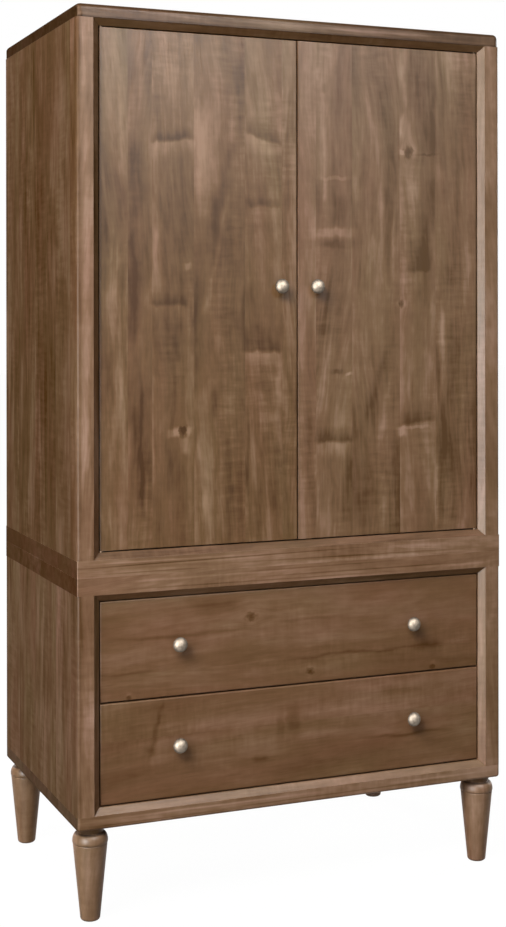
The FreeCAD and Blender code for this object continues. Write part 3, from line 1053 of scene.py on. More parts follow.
# Lit and shaded copies of the moulding wood. The left and top lengths, whose bevels face away from the lamps,
# get painted shade: darker, with less sheen. The doorway's bottom length gets half of that shade. The drawer
# opening's right and bottom lengths get painted light: paler.
SHADED_MOULDING = replace(MOULDING, name="deep_moulding_wood", tint="6e4f32", sheen=0.05)
SOFT_SHADE_MOULDING = replace(MOULDING, name="mid_moulding_wood", tint="6f5137", sheen=0.09)
LIT_MOULDING = replace(MOULDING, name="pale_moulding_wood", tint="806043")
LEFT_DOOR = WoodFinish("left_door_wood", "door_wood", "6f5031", sheen=0.108, contrast=0.9, swing=39.0)
RIGHT_DOOR = replace(LEFT_DOOR, name="right_door_wood", tint="7b5c40", sheen=0.115, contrast=0.86)
DRAWER = WoodFinish(
    "drawer_wood", "drawer_wood", "75553a", sheen=0.057, contrast=0.57, stave_swing=0.02, flow=0.3,
    swing=33.0,
)
LEG = WoodFinish("leg_wood", "leg_wood", "84644a", sheen=0.14, contrast=0.8, swing=40.0)
BOX = WoodFinish("box_wood", "box_wood", "b8966c", 0.6, 0.3, contrast=0.7, end_shade=0.75)
PANEL = WoodFinish("back_panel_wood", "back_panel_wood", "7d6047", 0.6, 0.05, contrast=0.5, swing=34.0)
KNOB_METAL = MetalFinish("knob_metal", "knob_metal", "675e54", "564e45", 0.58)
HINGE = MetalFinish("hinge_bronze", "zinc_steel", "4a3d31", "3b3026", 0.5)
ZINC = MetalFinish("zinc_steel", "zinc_steel", "b4b6b8", "a3a6a9", 0.38, 0.6)
BRASS = MetalFinish("insert_brass", "insert_brass", "c9a45a", "a8843f", 0.3)
CATCH = PlasticFinish("catch_plastic", "catch_plastic", "4a3b30", 0.5)
MAGNET = PlasticFinish("catch_magnet", "catch_plastic", "2a2a2b", 0.6)


# Pieces

FLANK_FACING = 0.75
LEVEL_FACING = 0.995


@dataclass
class Workshop:
    """What every sub-assembly is made with: the shared effects and the materials made so far."""

    effects: Effects
    materials: dict[str, bpy.types.Material] = field(default_factory=dict)

    def wood(self, finish: WoodFinish, grain: Grain, marks: Marks = (), note: str = "") -> bpy.types.Material:
        """The material of a wood finish with the grain one way, made once."""
        key = f"{finish.name}_{grain.name}_{note}"
        return self._once(key, lambda: finish.material(self.effects, grain, marks, note))

    def plain(self, finish: MetalFinish | PlasticFinish) -> bpy.types.Material:
        """The material of a metal or a plastic, made once."""
        return self._once(finish.name, finish.material)

    def _once(self, key: str, make: Callable[[], bpy.types.Material]) -> bpy.types.Material:
        """Look a material up, or make it.

        Args:
            key: What it is kept under.
            make: Makes it.

        Returns:
            The material.
        """
        if key not in self.materials:
            self.materials[key] = make()
        return self.materials[key]

    def place(
        self,
        shape: Shape,
        name: str,
        body: str,
        material: bpy.types.Material,
        slot: str,
        *nodes: str,
        flank: bpy.types.Material | None = None,
        crown: bpy.types.Material | None = None,
    ) -> None:
        """Finish a piece and fit it in the place of its nodes.

        Args:
            shape: The shape of the piece.
            name: The name of the piece.
            body: The body that it moves with.
            material: Its material.
            slot: The record's name for its finish; not used.
            nodes: The nodes that it stands for.
            flank: The material of its faces to the left and right, where they differ.
            crown: The material of its level top, where that differs.
        """
        piece = shape.finish(name)
        faces, materials = piece.data.polygons, piece.data.materials
        materials.append(material)
        for other, wanted in (
            (flank, lambda normal: abs(normal.x) > FLANK_FACING),
            (crown, lambda normal: normal.z > LEVEL_FACING),
        ):
            if other:
                materials.append(other)
                for face in faces:
                    if wanted(face.normal):
                        face.material_index = len(materials) - 1
        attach(piece, body)
        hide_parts(*nodes)
        log.info("%s made, %d faces", name, len(faces))


@dataclass
class Board:
    """A board with square ends and eased edges."""

    node: str
    finish: WoodFinish
    grain: Grain
    body: str = CARCASS
    joint_axis: int = 0
    joints: tuple[float, ...] = ()
    easing: float = 0.0006
    marks: Marks = ()
    note: str = ""
    flank: WoodFinish | None = None
    crown: WoodFinish | None = None
    seed: str = ""

    @property
    def space(self) -> Block:
        """The space that the board fills."""
        return Block.of(self.node)

    def shape(self) -> Shape:
        """Saw the board to size, before its edges are eased."""
        return Shape.block(self.space)

    def build(self, shop: Workshop) -> None:
        """Make the board.

        Args:
            shop: What it is made with.
        """
        shape = self.shape().ease(self.easing)
        shape.staves(self.seed or self.node, self.joint_axis, self.joints)
        shop.place(
            shape,
            "fine_" + self.node,
            self.body,
            shop.wood(self.finish, self.grain, self.marks, self.note),
            self.finish.slot,
            self.node,
            flank=self.flank and shop.wood(self.flank, self.grain),
            crown=self.crown and shop.wood(self.crown, self.grain),
        )


@dataclass
class WideBoard(Board):
    """A full-width board of the case with rounded corners and one soft long edge."""

    case_name: str = "upper"
    corner_radius: float = 0.004
    edge_radius: float = 0.0
    edge_side: int = 1
    round_steps: int = 6

    def shape(self) -> Shape:
        """Saw the board, round its corners and its soft edge, and rebate it for the back panel.

        Returns:
            The board.
        """
        shape = Shape.block(self.space)
        shape.round(self.corner_radius, self.round_steps, lambda edge: is_sharp(edge) and is_upright(edge))
        if self.edge_radius:
            soft_edge = on_plane(2, self.space.end(2, self.edge_side))
            shape.round(self.edge_radius, self.round_steps, soft_edge)
        return shape.carve(back_space(self.case_name), *self.bores())

    def bores(self) -> list[Shape]:
        """The round holes of the board, as rods to carve out."""
        return []


@dataclass
class TopSlab(WideBoard):
    """The top board, with two pilot holes in its back edge for a wall anchor."""

    hole_radius: float = 0.0015
    hole_depth: float = 0.020
    hole_spacing: float = 0.032
    holes_below_top: float = 0.0105

    def bores(self) -> list[Shape]:
        """The two pilot holes, as rods to carve out.

        Returns:
            The rods.
        """
        back, z = self.space.high.y + OVERRUN, self.space.high.z - self.holes_below_top
        starts = [Vector((side * self.hole_spacing / 2, back, z)) for side in SIDES.values()]
        run = -ALONG_Y * (self.hole_depth + OVERRUN)
        return [Shape.rod(self.hole_radius, start, run) for start in starts]


@dataclass
class Post(Board):
    """A front post with its outer corner rounded."""

    side: int = 1
    corner: float = 0.008
    round_steps: int = 8

    def shape(self) -> Shape:
        """Saw the post and round its outer front corner."""
        outer_front = at_corner(self.space, self.side, -1)
        return Shape.block(self.space).round(self.corner, self.round_steps, outer_front)


@dataclass
class SidePanel(Board):
    """A side panel of edge-glued staves; the upper ones have rows of holes for shelf pins."""

    side: int = 1
    corner: float = 0.008
    round_steps: int = 8
    case_name: str = "upper"
    pin_radius: float = 0.0026
    pin_depth: float = 0.010
    pin_pitch: float = 0.032
    pin_from_edge: float = 0.050
    pin_below_shelf: float = 0.00125

    def shape(self) -> Shape:
        """Saw the panel, round its outer back corner, rebate it and bore it.

        Returns:
            The panel.
        """
        outer_back = at_corner(self.space, self.side, 1)
        shape = Shape.block(self.space).round(self.corner, self.round_steps, outer_back)
        return shape.carve(back_space(self.case_name), *self._pin_holes())

    def _pin_holes(self) -> list[Shape]:
        """The holes for shelf pins.

        Returns:
            The rods to carve out, none for a lower panel.
        """
        x = self.space.end(0, -self.side) - self.side * OVERRUN
        run = ALONG_X * self.side * (self.pin_depth + OVERRUN)
        rods = []
        for shelf in SHELVES if self.case_name == "upper" else ():
            board = Block.of(shelf)
            for y in (board.low.y + self.pin_from_edge, board.high.y - self.pin_from_edge):
                for step in (-1, 0, 1):
                    z = board.low.z - self.pin_below_shelf + step * self.pin_pitch
                    rods.append(Shape.rod(self.pin_radius, Vector((x, y, z)), run))
        return rods


@dataclass
class BackPanel(Board):
    """A thin back panel, sunk for the heads of its screws."""

    case_name: str = "upper"
    sink_radius: float = 0.0031
    sink_depth: float = 0.0021

    def shape(self) -> Shape:
        """Saw the panel and sink it for its screws.

        Returns:
            The panel.
        """
        run = -ALONG_Y * (self.sink_depth + OVERRUN)
        starts = [place + ALONG_Y * OVERRUN for place in back_screw_places(self.case_name)]
        return Shape.block(self.space).carve(*(Shape.rod(self.sink_radius, start, run) for start in starts))


@dataclass
class Moulding(Board):
    """A length of bevelled moulding beside an opening, mitred at its ends."""

    opening: str = "door"
    inward: int = 1
    leaf_thick: float = 0.0025

    def shape(self) -> Shape:
        """Saw the moulding, its bevel and its mitres, and seat the hinge leaves in it.

        Returns:
            The moulding.
        """
        upright = self.grain is Grain.UPRIGHT
        across, length = (0, 2) if upright else (2, 0)
        trim = Block.of(self.opening + "_trim_left")
        face_y = Block.of(LEAVES[self.opening]).low.y
        point, slope = ALONG_Y * face_y, -ALONG_Y * trim.size.x
        point[across] = self.space.end(across, self.inward)
        slope[across] = self.inward * (face_y - trim.low.y)
        shape = Shape.block(self.space).saw(point, slope)
        for away in (-1, 1):
            corner, mitre = Vector(), Vector()
            corner[across] = self.space.end(across, -self.inward)
            corner[length] = self.space.end(length, away)
            mitre[across], mitre[length] = self.inward, away
            shape.saw(corner, mitre)
        if self.opening == "door" and not upright:
            shape.carve(*(self._leaf_seat(Block.of(name + "_door_hinge_leaves")) for name in SIDES))
        return shape

    def _leaf_seat(self, leaf: Block) -> Shape:
        """The seat of a hinge leaf in a level moulding of the doorway.

        Args:
            leaf: The space of the door's hinge leaves.

        Returns:
            The block to carve out.
        """
        inner = self.space.end(2, self.inward)
        low, high = sorted((inner - self.inward * self.leaf_thick, inner + self.inward * OVERRUN))
        return Shape.block(Block.between((leaf.low.x, leaf.low.y, low), (leaf.high.x, leaf.high.y, high)))


@dataclass
class Battens(Board):
    """The four battens that carry the drawer slides."""

    height: float = 0.060
    thick: float = 0.0295

    def shape(self) -> Shape:
        """Saw all four battens.

        Returns:
            The battens in one mesh.
        """
        low, high = self.space.low, self.space.high
        return Shape.joined(
            Shape.block(Block.between((x, low.y, z), (x + self.thick, high.y, z + self.height)))
            for z in (low.z, high.z - self.height)
            for x in (low.x, high.x - self.thick)
        )


SHELVES = ("lower_shelf", "upper_shelf")
LEAVES = {"door": "left_door_panel", "drawer": "top_drawer_front"}
BACK_SCREW_COUNTS = {"upper": 5, "lower": 3}
BACK_SCREW_FROM_END = 0.060
BACK_SCREW_FROM_INSIDE = 0.004
REBATE_PLAY = 0.0005


def back_screw_places(case_name: str) -> list[Vector]:
    """Where the screws of a back panel are.

    Args:
        case_name: The upper or the lower case.

    Returns:
        The middle of each head, on the panel's back face.
    """
    side_board = Block.of(case_name + "_right_side")
    x = side_board.low.x + BACK_SCREW_FROM_INSIDE
    first, last = side_board.low.z + BACK_SCREW_FROM_END, side_board.high.z - BACK_SCREW_FROM_END
    steps = BACK_SCREW_COUNTS[case_name] - 1
    levels = [first + (last - first) * n / steps for n in range(steps + 1)]
    back = Block.of(case_name + "_back_panel").high.y
    return [Vector((side * x, back, z)) for side in SIDES.values() for z in levels]


def back_space(case_name: str) -> Shape:
    """The room that a back panel needs in the case.

    Args:
        case_name: The upper or the lower case.

    Returns:
        A solid a little larger than the panel, which runs out past the back.
    """
    space, play = Block.of(case_name + "_back_panel"), Vector((REBATE_PLAY, 0.0, REBATE_PLAY))
    return Shape.block(Block(space.low - play, space.high + play + ALONG_Y * OVERRUN))


@dataclass
class Assembly:
    """A group of pieces of the chest, made in one workshop."""

    shop: Workshop

    def fit(
        self, parts: Iterable[Shape], name: str, body: str, finish: MetalFinish | PlasticFinish, *nodes: str
    ) -> None:
        """Fit parts of one metal or plastic as one piece."""
        self.shop.place(Shape.joined(parts), name, body, self.shop.plain(finish), finish.slot, *nodes)


@dataclass
class Case(Assembly):
    """The fixed case: boards, posts, sides, back panels, mouldings, shelves and battens."""

    slab_edge: float = 0.011
    slab_corner: float = 0.014
    base_edge: float = 0.0065
    base_corner: float = 0.0085
    wide_joints: tuple[float, ...] = (-0.16, -0.02, 0.14)
    shelf_joints: tuple[tuple[float, ...], ...] = ((-0.11, 0.06), (-0.13, 0.09))

    def build(self) -> None:
        """Make every fixed board."""
        for make in (self._boards, self._posts_and_sides, self._mouldings, self._inner_boards):
            for board in make():
                board.build(self.shop)

    def _joints(self, node: str, steps: tuple[float, ...]) -> tuple[float, ...]:
        """Where the glue joints of a level board are, from their distances to its middle."""
        return tuple(Block.of(node).middle.y + step for step in steps)

    def _boards(self) -> Iterable[Board]:
        """The four full-width boards.

        Returns:
            Each board.
        """
        slab = {"corner_radius": self.slab_corner, "edge_radius": self.slab_edge, "crown": TOP_FACE}
        base = {"corner_radius": self.base_corner, "edge_radius": self.base_edge, "edge_side": -1}
        for node, kind, finish, flank, case_name, sizes in (
            ("top_slab", TopSlab, SLAB, SLAB_END, "upper", slab),
            ("cupboard_floor", WideBoard, CASE, END, "upper", {}),
            ("lower_top_board", WideBoard, CASE, END, "lower", {}),
            ("base_board", WideBoard, CASE, LIT_BASE_END, "lower", base),
        ):
            yield kind(
                node, finish, Grain.SIDEWAYS, joint_axis=1, joints=self._joints(node, self.wide_joints),
                easing=0.0007, marks=BOARD_FIGURE_AND_SHADE[node], note=node, flank=flank, case_name=case_name, **sizes,
            )

    def _posts_and_sides(self) -> Iterable[Board]:
        """The four front posts, the four side panels behind them and the two back panels.

        Returns:
            Each board.
        """
        finishes = {"upper": (POST_SIDE, SIDE), "lower": (LOW_SIDE, LOW_SIDE)}
        for case_name, (flank, finish) in finishes.items():
            for name, side in SIDES.items():
                start = f"{case_name}_{name}_"
                yield Post(
                    start + "post", CASE, Grain.UPRIGHT, marks=POST_TONE_AND_LIGHT, note="posts", flank=flank,
                    side=side,
                )
                yield SidePanel(
                    start + "side", finish, Grain.UPRIGHT, joint_axis=1, joints=SIDE_JOINTS, side=side,
                    case_name=case_name,
                )
        for case_name in finishes:
            yield BackPanel(
                case_name + "_back_panel", PANEL, Grain.UPRIGHT, easing=0.0004, case_name=case_name
            )

    def _mouldings(self) -> Iterable[Board]:
        """The bevelled mouldings round both openings.

        Returns:
            Each length.
        """
        for opening in LEAVES:
            for name, grain, inward in (
                ("left", Grain.UPRIGHT, 1),
                ("right", Grain.UPRIGHT, -1),
                ("bottom", Grain.SIDEWAYS, 1),
                ("top", Grain.SIDEWAYS, -1),
            ):
                node = f"{opening}_trim_{name}"
                # Each length takes a tint with painted light or painted shade, set by the way its bevel
                # faces; the rest take the shaded copy.
                finish = MOULDING_LIGHT_AND_SHADE.get(node, SHADED_MOULDING)
                yield Moulding(node, finish, grain, easing=0.0005, opening=opening, inward=inward)

    def _inner_boards(self) -> Iterable[Board]:
        """The two shelves and the battens.

        Returns:
            Each board.
        """
        for node, steps in zip(SHELVES, self.shelf_joints):
            joints = self._joints(node, steps)
            yield Board(node, CASE, Grain.SIDEWAYS, joint_axis=1, joints=joints, easing=0.0012)
        yield Battens("slide_battens", BOX, Grain.FRONT_TO_BACK, easing=0.001, seed="battens")


# The moulding lengths that take painted light or half shade instead of the shaded copy.
MOULDING_LIGHT_AND_SHADE = {
    "door_trim_right": MOULDING,
    "door_trim_bottom": SOFT_SHADE_MOULDING,
    "drawer_trim_right": LIT_MOULDING,
    "drawer_trim_bottom": LIT_MOULDING,
}
SIDE_JOINTS = (-0.138, -0.069, 0.034, 0.180)
CASE_FRONT = -0.298
DOOR_FRONT = -0.286
POST_TONE_AND_LIGHT: Marks = (
    # Painted shade down the left posts' rounded outer corner, which dulls the highlight there.
    Streak(-0.505, 1.05, 0.008, 1.6, -0.8, 0.0, CASE_FRONT + 0.003),
    # Painted highlight: a pale line down the upper left post's inner edge, beside the doorway.
    Streak(-0.487, 1.45, 0.006, 0.45, 0.25, 0.0, CASE_FRONT),
    Streak(-0.49, 1.06, 0.04, 0.45, -0.25, 0.0, CASE_FRONT + 0.004),
    Streak(-0.49, 0.45, 0.04, 0.3, -0.15, 0.0, CASE_FRONT + 0.004),
    Streak(0.49, 1.08, 0.04, 0.45, 0.14, 0.0, CASE_FRONT + 0.004),
)
# Painted shade round each leg's neck, under the base board.
LEG_NECK_SHADE: Marks = (Streak(0.0, 0.196, 5.0, 0.0115, -0.85, 0.0, 1.0),)
BOARD_FIGURE_AND_SHADE: dict[str, Marks] = {
    "top_slab": (
        # Painted shade along the top slab's rounded top edge.
        Streak(1.9195, 0.0, 0.005, 1.2, -1.3, 0.0, CASE_FRONT + 0.01),
        Streak(1.906, -0.15, 0.003, 0.28, 0.45, 0.0, CASE_FRONT),
        Streak(1.904, 0.18, 0.0025, 0.2, 0.5, 0.004, CASE_FRONT),
        Streak(1.912, 0.15, 0.003, 0.2, -0.5, -0.004, CASE_FRONT),
        Streak(1.91, -0.38, 0.003, 0.12, 0.4, 0.0, CASE_FRONT),
        # Painted shade along the seam under the top slab.
        Streak(1.892, 0.0, 0.003, 1.2, -0.9, 0.0, CASE_FRONT),
        Streak(1.905, 0.4, 0.012, 0.12, -0.5, 0.0, CASE_FRONT),
    ),
    "cupboard_floor": (
        Streak(0.752, -0.3, 0.002, 0.17, 0.5, 0.0, CASE_FRONT),
        Streak(0.744, -0.23, 0.0025, 0.2, 0.3, 0.01, CASE_FRONT),
        Streak(0.7475, -0.2, 0.0012, 0.33, -0.8, 0.012, CASE_FRONT),
        Streak(0.735, 0.1, 0.0016, 0.26, -0.6, -0.006, CASE_FRONT),
        Streak(0.749, 0.3, 0.003, 0.12, 0.3, 0.0, CASE_FRONT),
        Streak(0.73, -0.33, 0.0015, 0.12, -0.6, 0.0, CASE_FRONT),
        Streak(0.728, 0.2, 0.003, 0.2, 0.3, 0.0, CASE_FRONT),
    ),
    "lower_top_board": (
        Streak(0.712, -0.2, 0.0025, 0.22, 0.35, 0.004, CASE_FRONT),
        Streak(0.702, 0.15, 0.0015, 0.25, -0.6, 0.0, CASE_FRONT),
        Streak(0.694, -0.1, 0.0015, 0.3, -0.5, -0.004, CASE_FRONT),
        Streak(0.716, 0.05, 0.0015, 0.2, -0.5, 0.005, CASE_FRONT),
        Streak(0.698, 0.38, 0.003, 0.1, 0.35, 0.0, CASE_FRONT),
        Streak(0.704, 0.0, 0.03, 0.6, 0.15, 0.0, CASE_FRONT),
    ),
    "base_board": (
        Streak(0.218, -0.2, 0.002, 0.22, 0.45, 0.0, CASE_FRONT),
        Streak(0.21, 0.1, 0.0014, 0.3, -0.5, 0.004, CASE_FRONT),
        Streak(0.206, -0.3, 0.0014, 0.18, -0.5, 0.0, CASE_FRONT),
        Streak(0.216, 0.35, 0.002, 0.13, 0.4, 0.0, CASE_FRONT),
        Streak(0.213, 0.0, 0.03, 0.6, 0.12, 0.0, CASE_FRONT),
    ),
}


@dataclass
class Door(Board):
    """A door of upright staves, let in for its hinge leaves and its strike plate."""

    front_radius: float = 0.003
    round_steps: int = 4
    leaf_thick: float = 0.0025

    def shape(self) -> Shape:
        """Saw the door, let in its seats and round its front edges.

        Returns:
            The door.
        """
        leaf, strike = Block.of(self.body + "_hinge_leaves"), Block.of(self.body + "_strike")
        low, high = leaf.low, leaf.high
        seats = (
            Block.between(low - ALONG_Z * OVERRUN, (high.x, high.y, low.z + self.leaf_thick)),
            Block.between((low.x, low.y, high.z - self.leaf_thick), high + ALONG_Z * OVERRUN),
            Block(strike.low, strike.high + ALONG_Y * OVERRUN),
        )
        shape = Shape.block(self.space).carve(*(Shape.block(seat) for seat in seats))
        return shape.round(self.front_radius, self.round_steps, on_plane(1, self.space.low.y))


@dataclass
class Doors(Assembly):
    """The two doors."""

    easing: float = 0.0005

    def build(self) -> None:
        """Make both doors."""
        for body, finish, joints, marks in (
            ("left_door", LEFT_DOOR, LEFT_DOOR_JOINTS, LEFT_DOOR_FIGURE_AND_LIGHT),
            ("right_door", RIGHT_DOOR, RIGHT_DOOR_JOINTS, RIGHT_DOOR_FIGURE_AND_SHADE),
        ):
            Door(
                body + "_panel", finish, Grain.UPRIGHT, body, 0, joints, self.easing, marks, note=body
            ).build(self.shop)


LEFT_DOOR_JOINTS = (-0.392, -0.338, -0.243, -0.125, -0.037)
RIGHT_DOOR_JOINTS = (0.045, 0.134, 0.254, 0.346)
LEFT_DOOR_FIGURE_AND_LIGHT: Marks = (
    # Painted shade along the door's outer and meeting edges, beside the gaps.
    Streak(-0.455, 1.3255, 0.004, 1.2, -0.9, 0.0, DOOR_FRONT),
    Streak(-0.001, 1.3255, 0.003, 1.2, -0.7, 0.0, DOOR_FRONT),
    # Painted light across the door's upper part and painted shade across its middle, as the light falls off
    # down the door.
    Streak(-0.24, 1.74, 0.15, 0.11, 0.2),
    Streak(-0.23, 1.33, 0.18, 0.15, -0.1),
    Streak(-0.1, 1.27, 0.06, 0.06, -0.25),
    Streak(-0.03, 0.93, 0.02, 0.14, -0.25),
    Flame(-0.292, 1.641, 0.048, 0.04, 0.1, 0.8, 0.7),
    Flame(-0.081, 1.652, 0.044, 0.055, -0.3, 0.75, 0.5),
    Flame(-0.081, 1.503, 0.042, 0.035, 0.0, 0.55, 0.3),
    Flame(-0.298, 1.288, 0.044, 0.045, 0.0, 0.65, 0.3),
    Flame(-0.084, 1.188, 0.046, 0.085, 0.0, 0.7, 0.55),
    Streak(-0.257, 1.375, 0.008, 0.009, 0.7),
    Knot(-0.269, 1.022, 0.0085, 1.1, 0.8),
    Streak(-0.29, 1.02, 0.012, 0.01, 0.7),
    Streak(-0.263, 0.992, 0.01, 0.022, 0.75),
    Streak(-0.232, 1.6, 0.011, 0.13, 0.55),
    Streak(-0.133, 1.76, 0.011, 0.11, -0.5),
    Streak(-0.168, 1.58, 0.012, 0.11, -0.4, 0.25),
    Streak(-0.194, 1.475, 0.014, 0.07, -0.4),
    Streak(-0.192, 1.4, 0.006, 0.13, 0.35, 0.2),
    Streak(-0.374, 1.56, 0.02, 0.09, -0.5),
    Streak(-0.352, 1.69, 0.012, 0.14, 0.35, -0.1),
    Streak(-0.334, 1.37, 0.009, 0.1, 0.45, 0.1),
    Streak(-0.361, 1.0, 0.004, 0.15, -0.7),
    Streak(-0.377, 1.33, 0.007, 0.16, -0.45),
    Streak(-0.236, 1.21, 0.006, 0.08, -0.6),
    Streak(-0.238, 1.31, 0.008, 0.06, -0.5),
    Streak(-0.196, 1.08, 0.009, 0.035, -0.7),
    Streak(-0.045, 1.125, 0.008, 0.055, 0.7),
    Streak(-0.303, 0.95, 0.01, 0.065, -0.5),
    Streak(-0.119, 0.98, 0.005, 0.085, -0.5),
    Streak(-0.046, 0.96, 0.011, 0.03, -0.5),
    Streak(-0.219, 0.86, 0.006, 0.04, 0.6),
    Streak(-0.337, 1.02, 0.004, 0.11, 0.5),
)
RIGHT_DOOR_FIGURE_AND_SHADE: Marks = (
    # Painted shade along the door's outer and meeting edges, beside the gaps.
    Streak(0.455, 1.3255, 0.004, 1.2, -0.9, 0.0, DOOR_FRONT),
    Streak(0.001, 1.3255, 0.003, 1.2, -0.8, 0.0, DOOR_FRONT),
    Knot(0.276, 1.64, 0.011, 1.1, 0.3),
    Streak(0.262, 1.641, 0.006, 0.006, 1.0),
    Streak(0.262, 1.7, 0.006, 0.025, 0.6),
    Streak(0.262, 1.8, 0.007, 0.06, 0.45),
    Streak(0.322, 1.637, 0.028, 0.003, -0.45),
    Streak(0.331, 1.72, 0.018, 0.1, -0.45),
    Flame(0.304, 1.367, 0.028, 0.1, 0.0, 0.5, 0.3),
    Knot(0.258, 1.296, 0.006, 0.9, 0.3),
    Streak(0.09, 1.454, 0.045, 0.012, 0.75),
    Streak(0.088, 1.428, 0.045, 0.01, -0.35),
    Streak(0.094, 1.574, 0.028, 0.005, 0.5),
    Streak(0.072, 1.548, 0.005, 0.026, 0.5),
    Streak(0.054, 1.53, 0.011, 0.045, -0.45),
    Streak(0.106, 1.5, 0.024, 0.035, -0.4),
    Flame(0.091, 0.985, 0.046, 0.055, 0.0, 0.8, 0.5),
    Flame(0.3, 1.02, 0.046, 0.07, 0.12, 0.7, 0.2),
    Streak(0.262, 1.006, 0.011, 0.011, 0.9),
    Streak(0.3, 1.014, 0.036, 0.004, 0.5),
    Streak(0.2, 1.12, 0.012, 0.085, -0.55, 0.28),
    Streak(0.22, 1.06, 0.007, 0.08, 0.35, 0.2),
    Streak(0.35, 0.87, 0.005, 0.09, 0.8),
    Streak(0.362, 1.235, 0.007, 0.045, 0.7),
    Streak(0.371, 1.01, 0.006, 0.085, -0.5),
    Streak(0.24, 1.43, 0.005, 0.075, 0.6),
    Streak(0.098, 1.143, 0.012, 0.006, -0.6),
    Streak(0.126, 1.138, 0.008, 0.004, 0.8),
    Streak(0.03, 1.03, 0.012, 0.22, -0.45),
    Streak(0.02, 1.3, 0.02, 0.32, -0.28),
    Streak(0.065, 1.775, 0.006, 0.012, -0.4),
    Streak(0.405, 1.56, 0.008, 0.09, -0.4),
)


@dataclass
class DrawerFront(Board):
    """A drawer front with rounded front edges."""

    front_radius: float = 0.003
    round_steps: int = 4

    def shape(self) -> Shape:
        """Saw the front and round its front edges."""
        front_edges = on_plane(1, self.space.low.y)
        return Shape.block(self.space).round(self.front_radius, self.round_steps, front_edges)


@dataclass
class Drawers(Assembly):
    """The two drawers: fronts with long level grain, and their boxes."""

    front_easing: float = 0.0005
    box_easing: float = 0.0008
    top_joint_share: float = 0.26
    bottom_joint_share: float = 0.62

    def build(self) -> None:
        """Make both drawers."""
        for body, share, marks in (
            ("bottom_drawer", self.bottom_joint_share, BOTTOM_DRAWER_MARKS),
            ("top_drawer", self.top_joint_share, TOP_DRAWER_MARKS),
        ):
            node = body + "_front"
            joints = (Block.of(node).low.z + share * Block.of(node).size.z,)
            DrawerFront(
                node, DRAWER, Grain.SIDEWAYS, body, 2, joints, self.front_easing, marks, note=body
            ).build(self.shop)
            for part, grain in (
                ("left_side", Grain.FRONT_TO_BACK),
                ("right_side", Grain.FRONT_TO_BACK),
                ("back", Grain.SIDEWAYS),
                ("bottom", Grain.SIDEWAYS),
            ):
                Board(f"{body}_{part}", BOX, grain, body, easing=self.box_easing).build(self.shop)


TOP_DRAWER_MARKS: Marks = (
    Knot(0.614, -0.112, 0.009, 1.1, 0.2),
    Knot(0.484, 0.03, 0.007, 1.0, 0.2),
    Knot(0.464, -0.391, 0.005, 0.8, 0.3),
    Knot(0.466, 0.337, 0.006, 0.7, 0.3),
    Streak(0.645, -0.19, 0.011, 0.05, -0.6),
    Streak(0.588, -0.27, 0.004, 0.18, -0.35),
    Streak(0.515, 0.15, 0.004, 0.2, -0.5),
    Streak(0.516, 0.33, 0.009, 0.04, -0.6),
    Streak(0.516, -0.39, 0.004, 0.06, -0.5),
    Streak(0.598, 0.02, 0.004, 0.08, -0.4),
    Streak(0.497, -0.1, 0.011, 0.28, 0.35),
    Streak(0.556, 0.1, 0.014, 0.09, 0.25),
)
BOTTOM_DRAWER_MARKS: Marks = (
    Streak(0.386, -0.331, 0.02, 0.018, -0.55, 2.9),
    Streak(0.35, -0.346, 0.008, 0.012, -0.4),
    Streak(0.345, -0.4, 0.06, 0.06, -0.35),
    Streak(0.378, -0.012, 0.03, 0.018, -0.5),
    Streak(0.366, -0.042, 0.024, 0.01, -0.4),
    Streak(0.305, -0.09, 0.007, 0.02, -0.5),
    Streak(0.32, 0.27, 0.004, 0.11, -0.6),
    Streak(0.42, 0.26, 0.006, 0.06, -0.4),
    Streak(0.348, 0.06, 0.009, 0.06, 0.4),
    Streak(0.375, -0.13, 0.016, 0.028, 0.35),
    Streak(0.385, 0.2, 0.02, 0.12, 0.25),
)


@dataclass
class Legs(Assembly):
    """Four turned legs: a neck, a rounded shoulder, a fine groove and a long taper."""

    neck_radius: float = 0.0305
    waist_radius: float = 0.0272
    neck_height: float = 0.012
    step: float = 0.0012
    bead_radius: float = 0.0377
    bead_drop: float = 0.031
    bead_end_drop: float = 0.0345
    groove_depth: float = 0.0013
    groove_width: float = 0.0030
    foot_radius: float = 0.0212
    foot_edge: float = 0.007
    arc_steps: int = 10
    sides: int = 96

    def profile(self, height: float) -> Profile:
        """The outline of a leg, from its top to its foot.

        Args:
            height: How tall the leg is.

        Returns:
            The radius and height of each point.
        """
        points = [(0.0, height), (self.neck_radius, height), (self.waist_radius, height - self.neck_height)]
        start = Vector((self.waist_radius + self.step, height - self.neck_height - self.step))
        reach = Vector((self.bead_radius - start.x, self.bead_drop - self.neck_height - self.step))
        arc = quarter(self.arc_steps)
        points += [(start.x + reach.x * math.sin(a), start.y - reach.y * (1 - math.cos(a))) for a in arc]
        groove_top = height - self.bead_end_drop
        points += [
            (self.bead_radius - self.groove_depth / 2, groove_top),
            (self.bead_radius - 2 * self.groove_depth, groove_top - self.groove_width / 2),
            (self.bead_radius - self.groove_depth, groove_top - self.groove_width),
        ]
        edge = self.foot_edge
        points += [(self.foot_radius - edge * (1 - math.cos(a)), edge * (1 - math.sin(a))) for a in arc]
        return points + [(0.0, 0.0)]

    def build(self) -> None:
        """Turn all four legs."""
        for row in ("front", "back"):
            for side in SIDES:
                node = f"{row}_{side}_leg"
                space = Block.of(node)
                shape = Shape.turned(self.profile(space.size.z), self.sides)
                shape.move(Vector((space.middle.x, space.middle.y, space.low.z))).staves(node, 0, ())
                material = self.shop.wood(LEG, Grain.UPRIGHT, LEG_NECK_SHADE, "legs")
                self.shop.place(shape, "fine_" + node, CARCASS, material, LEG.slot, node)


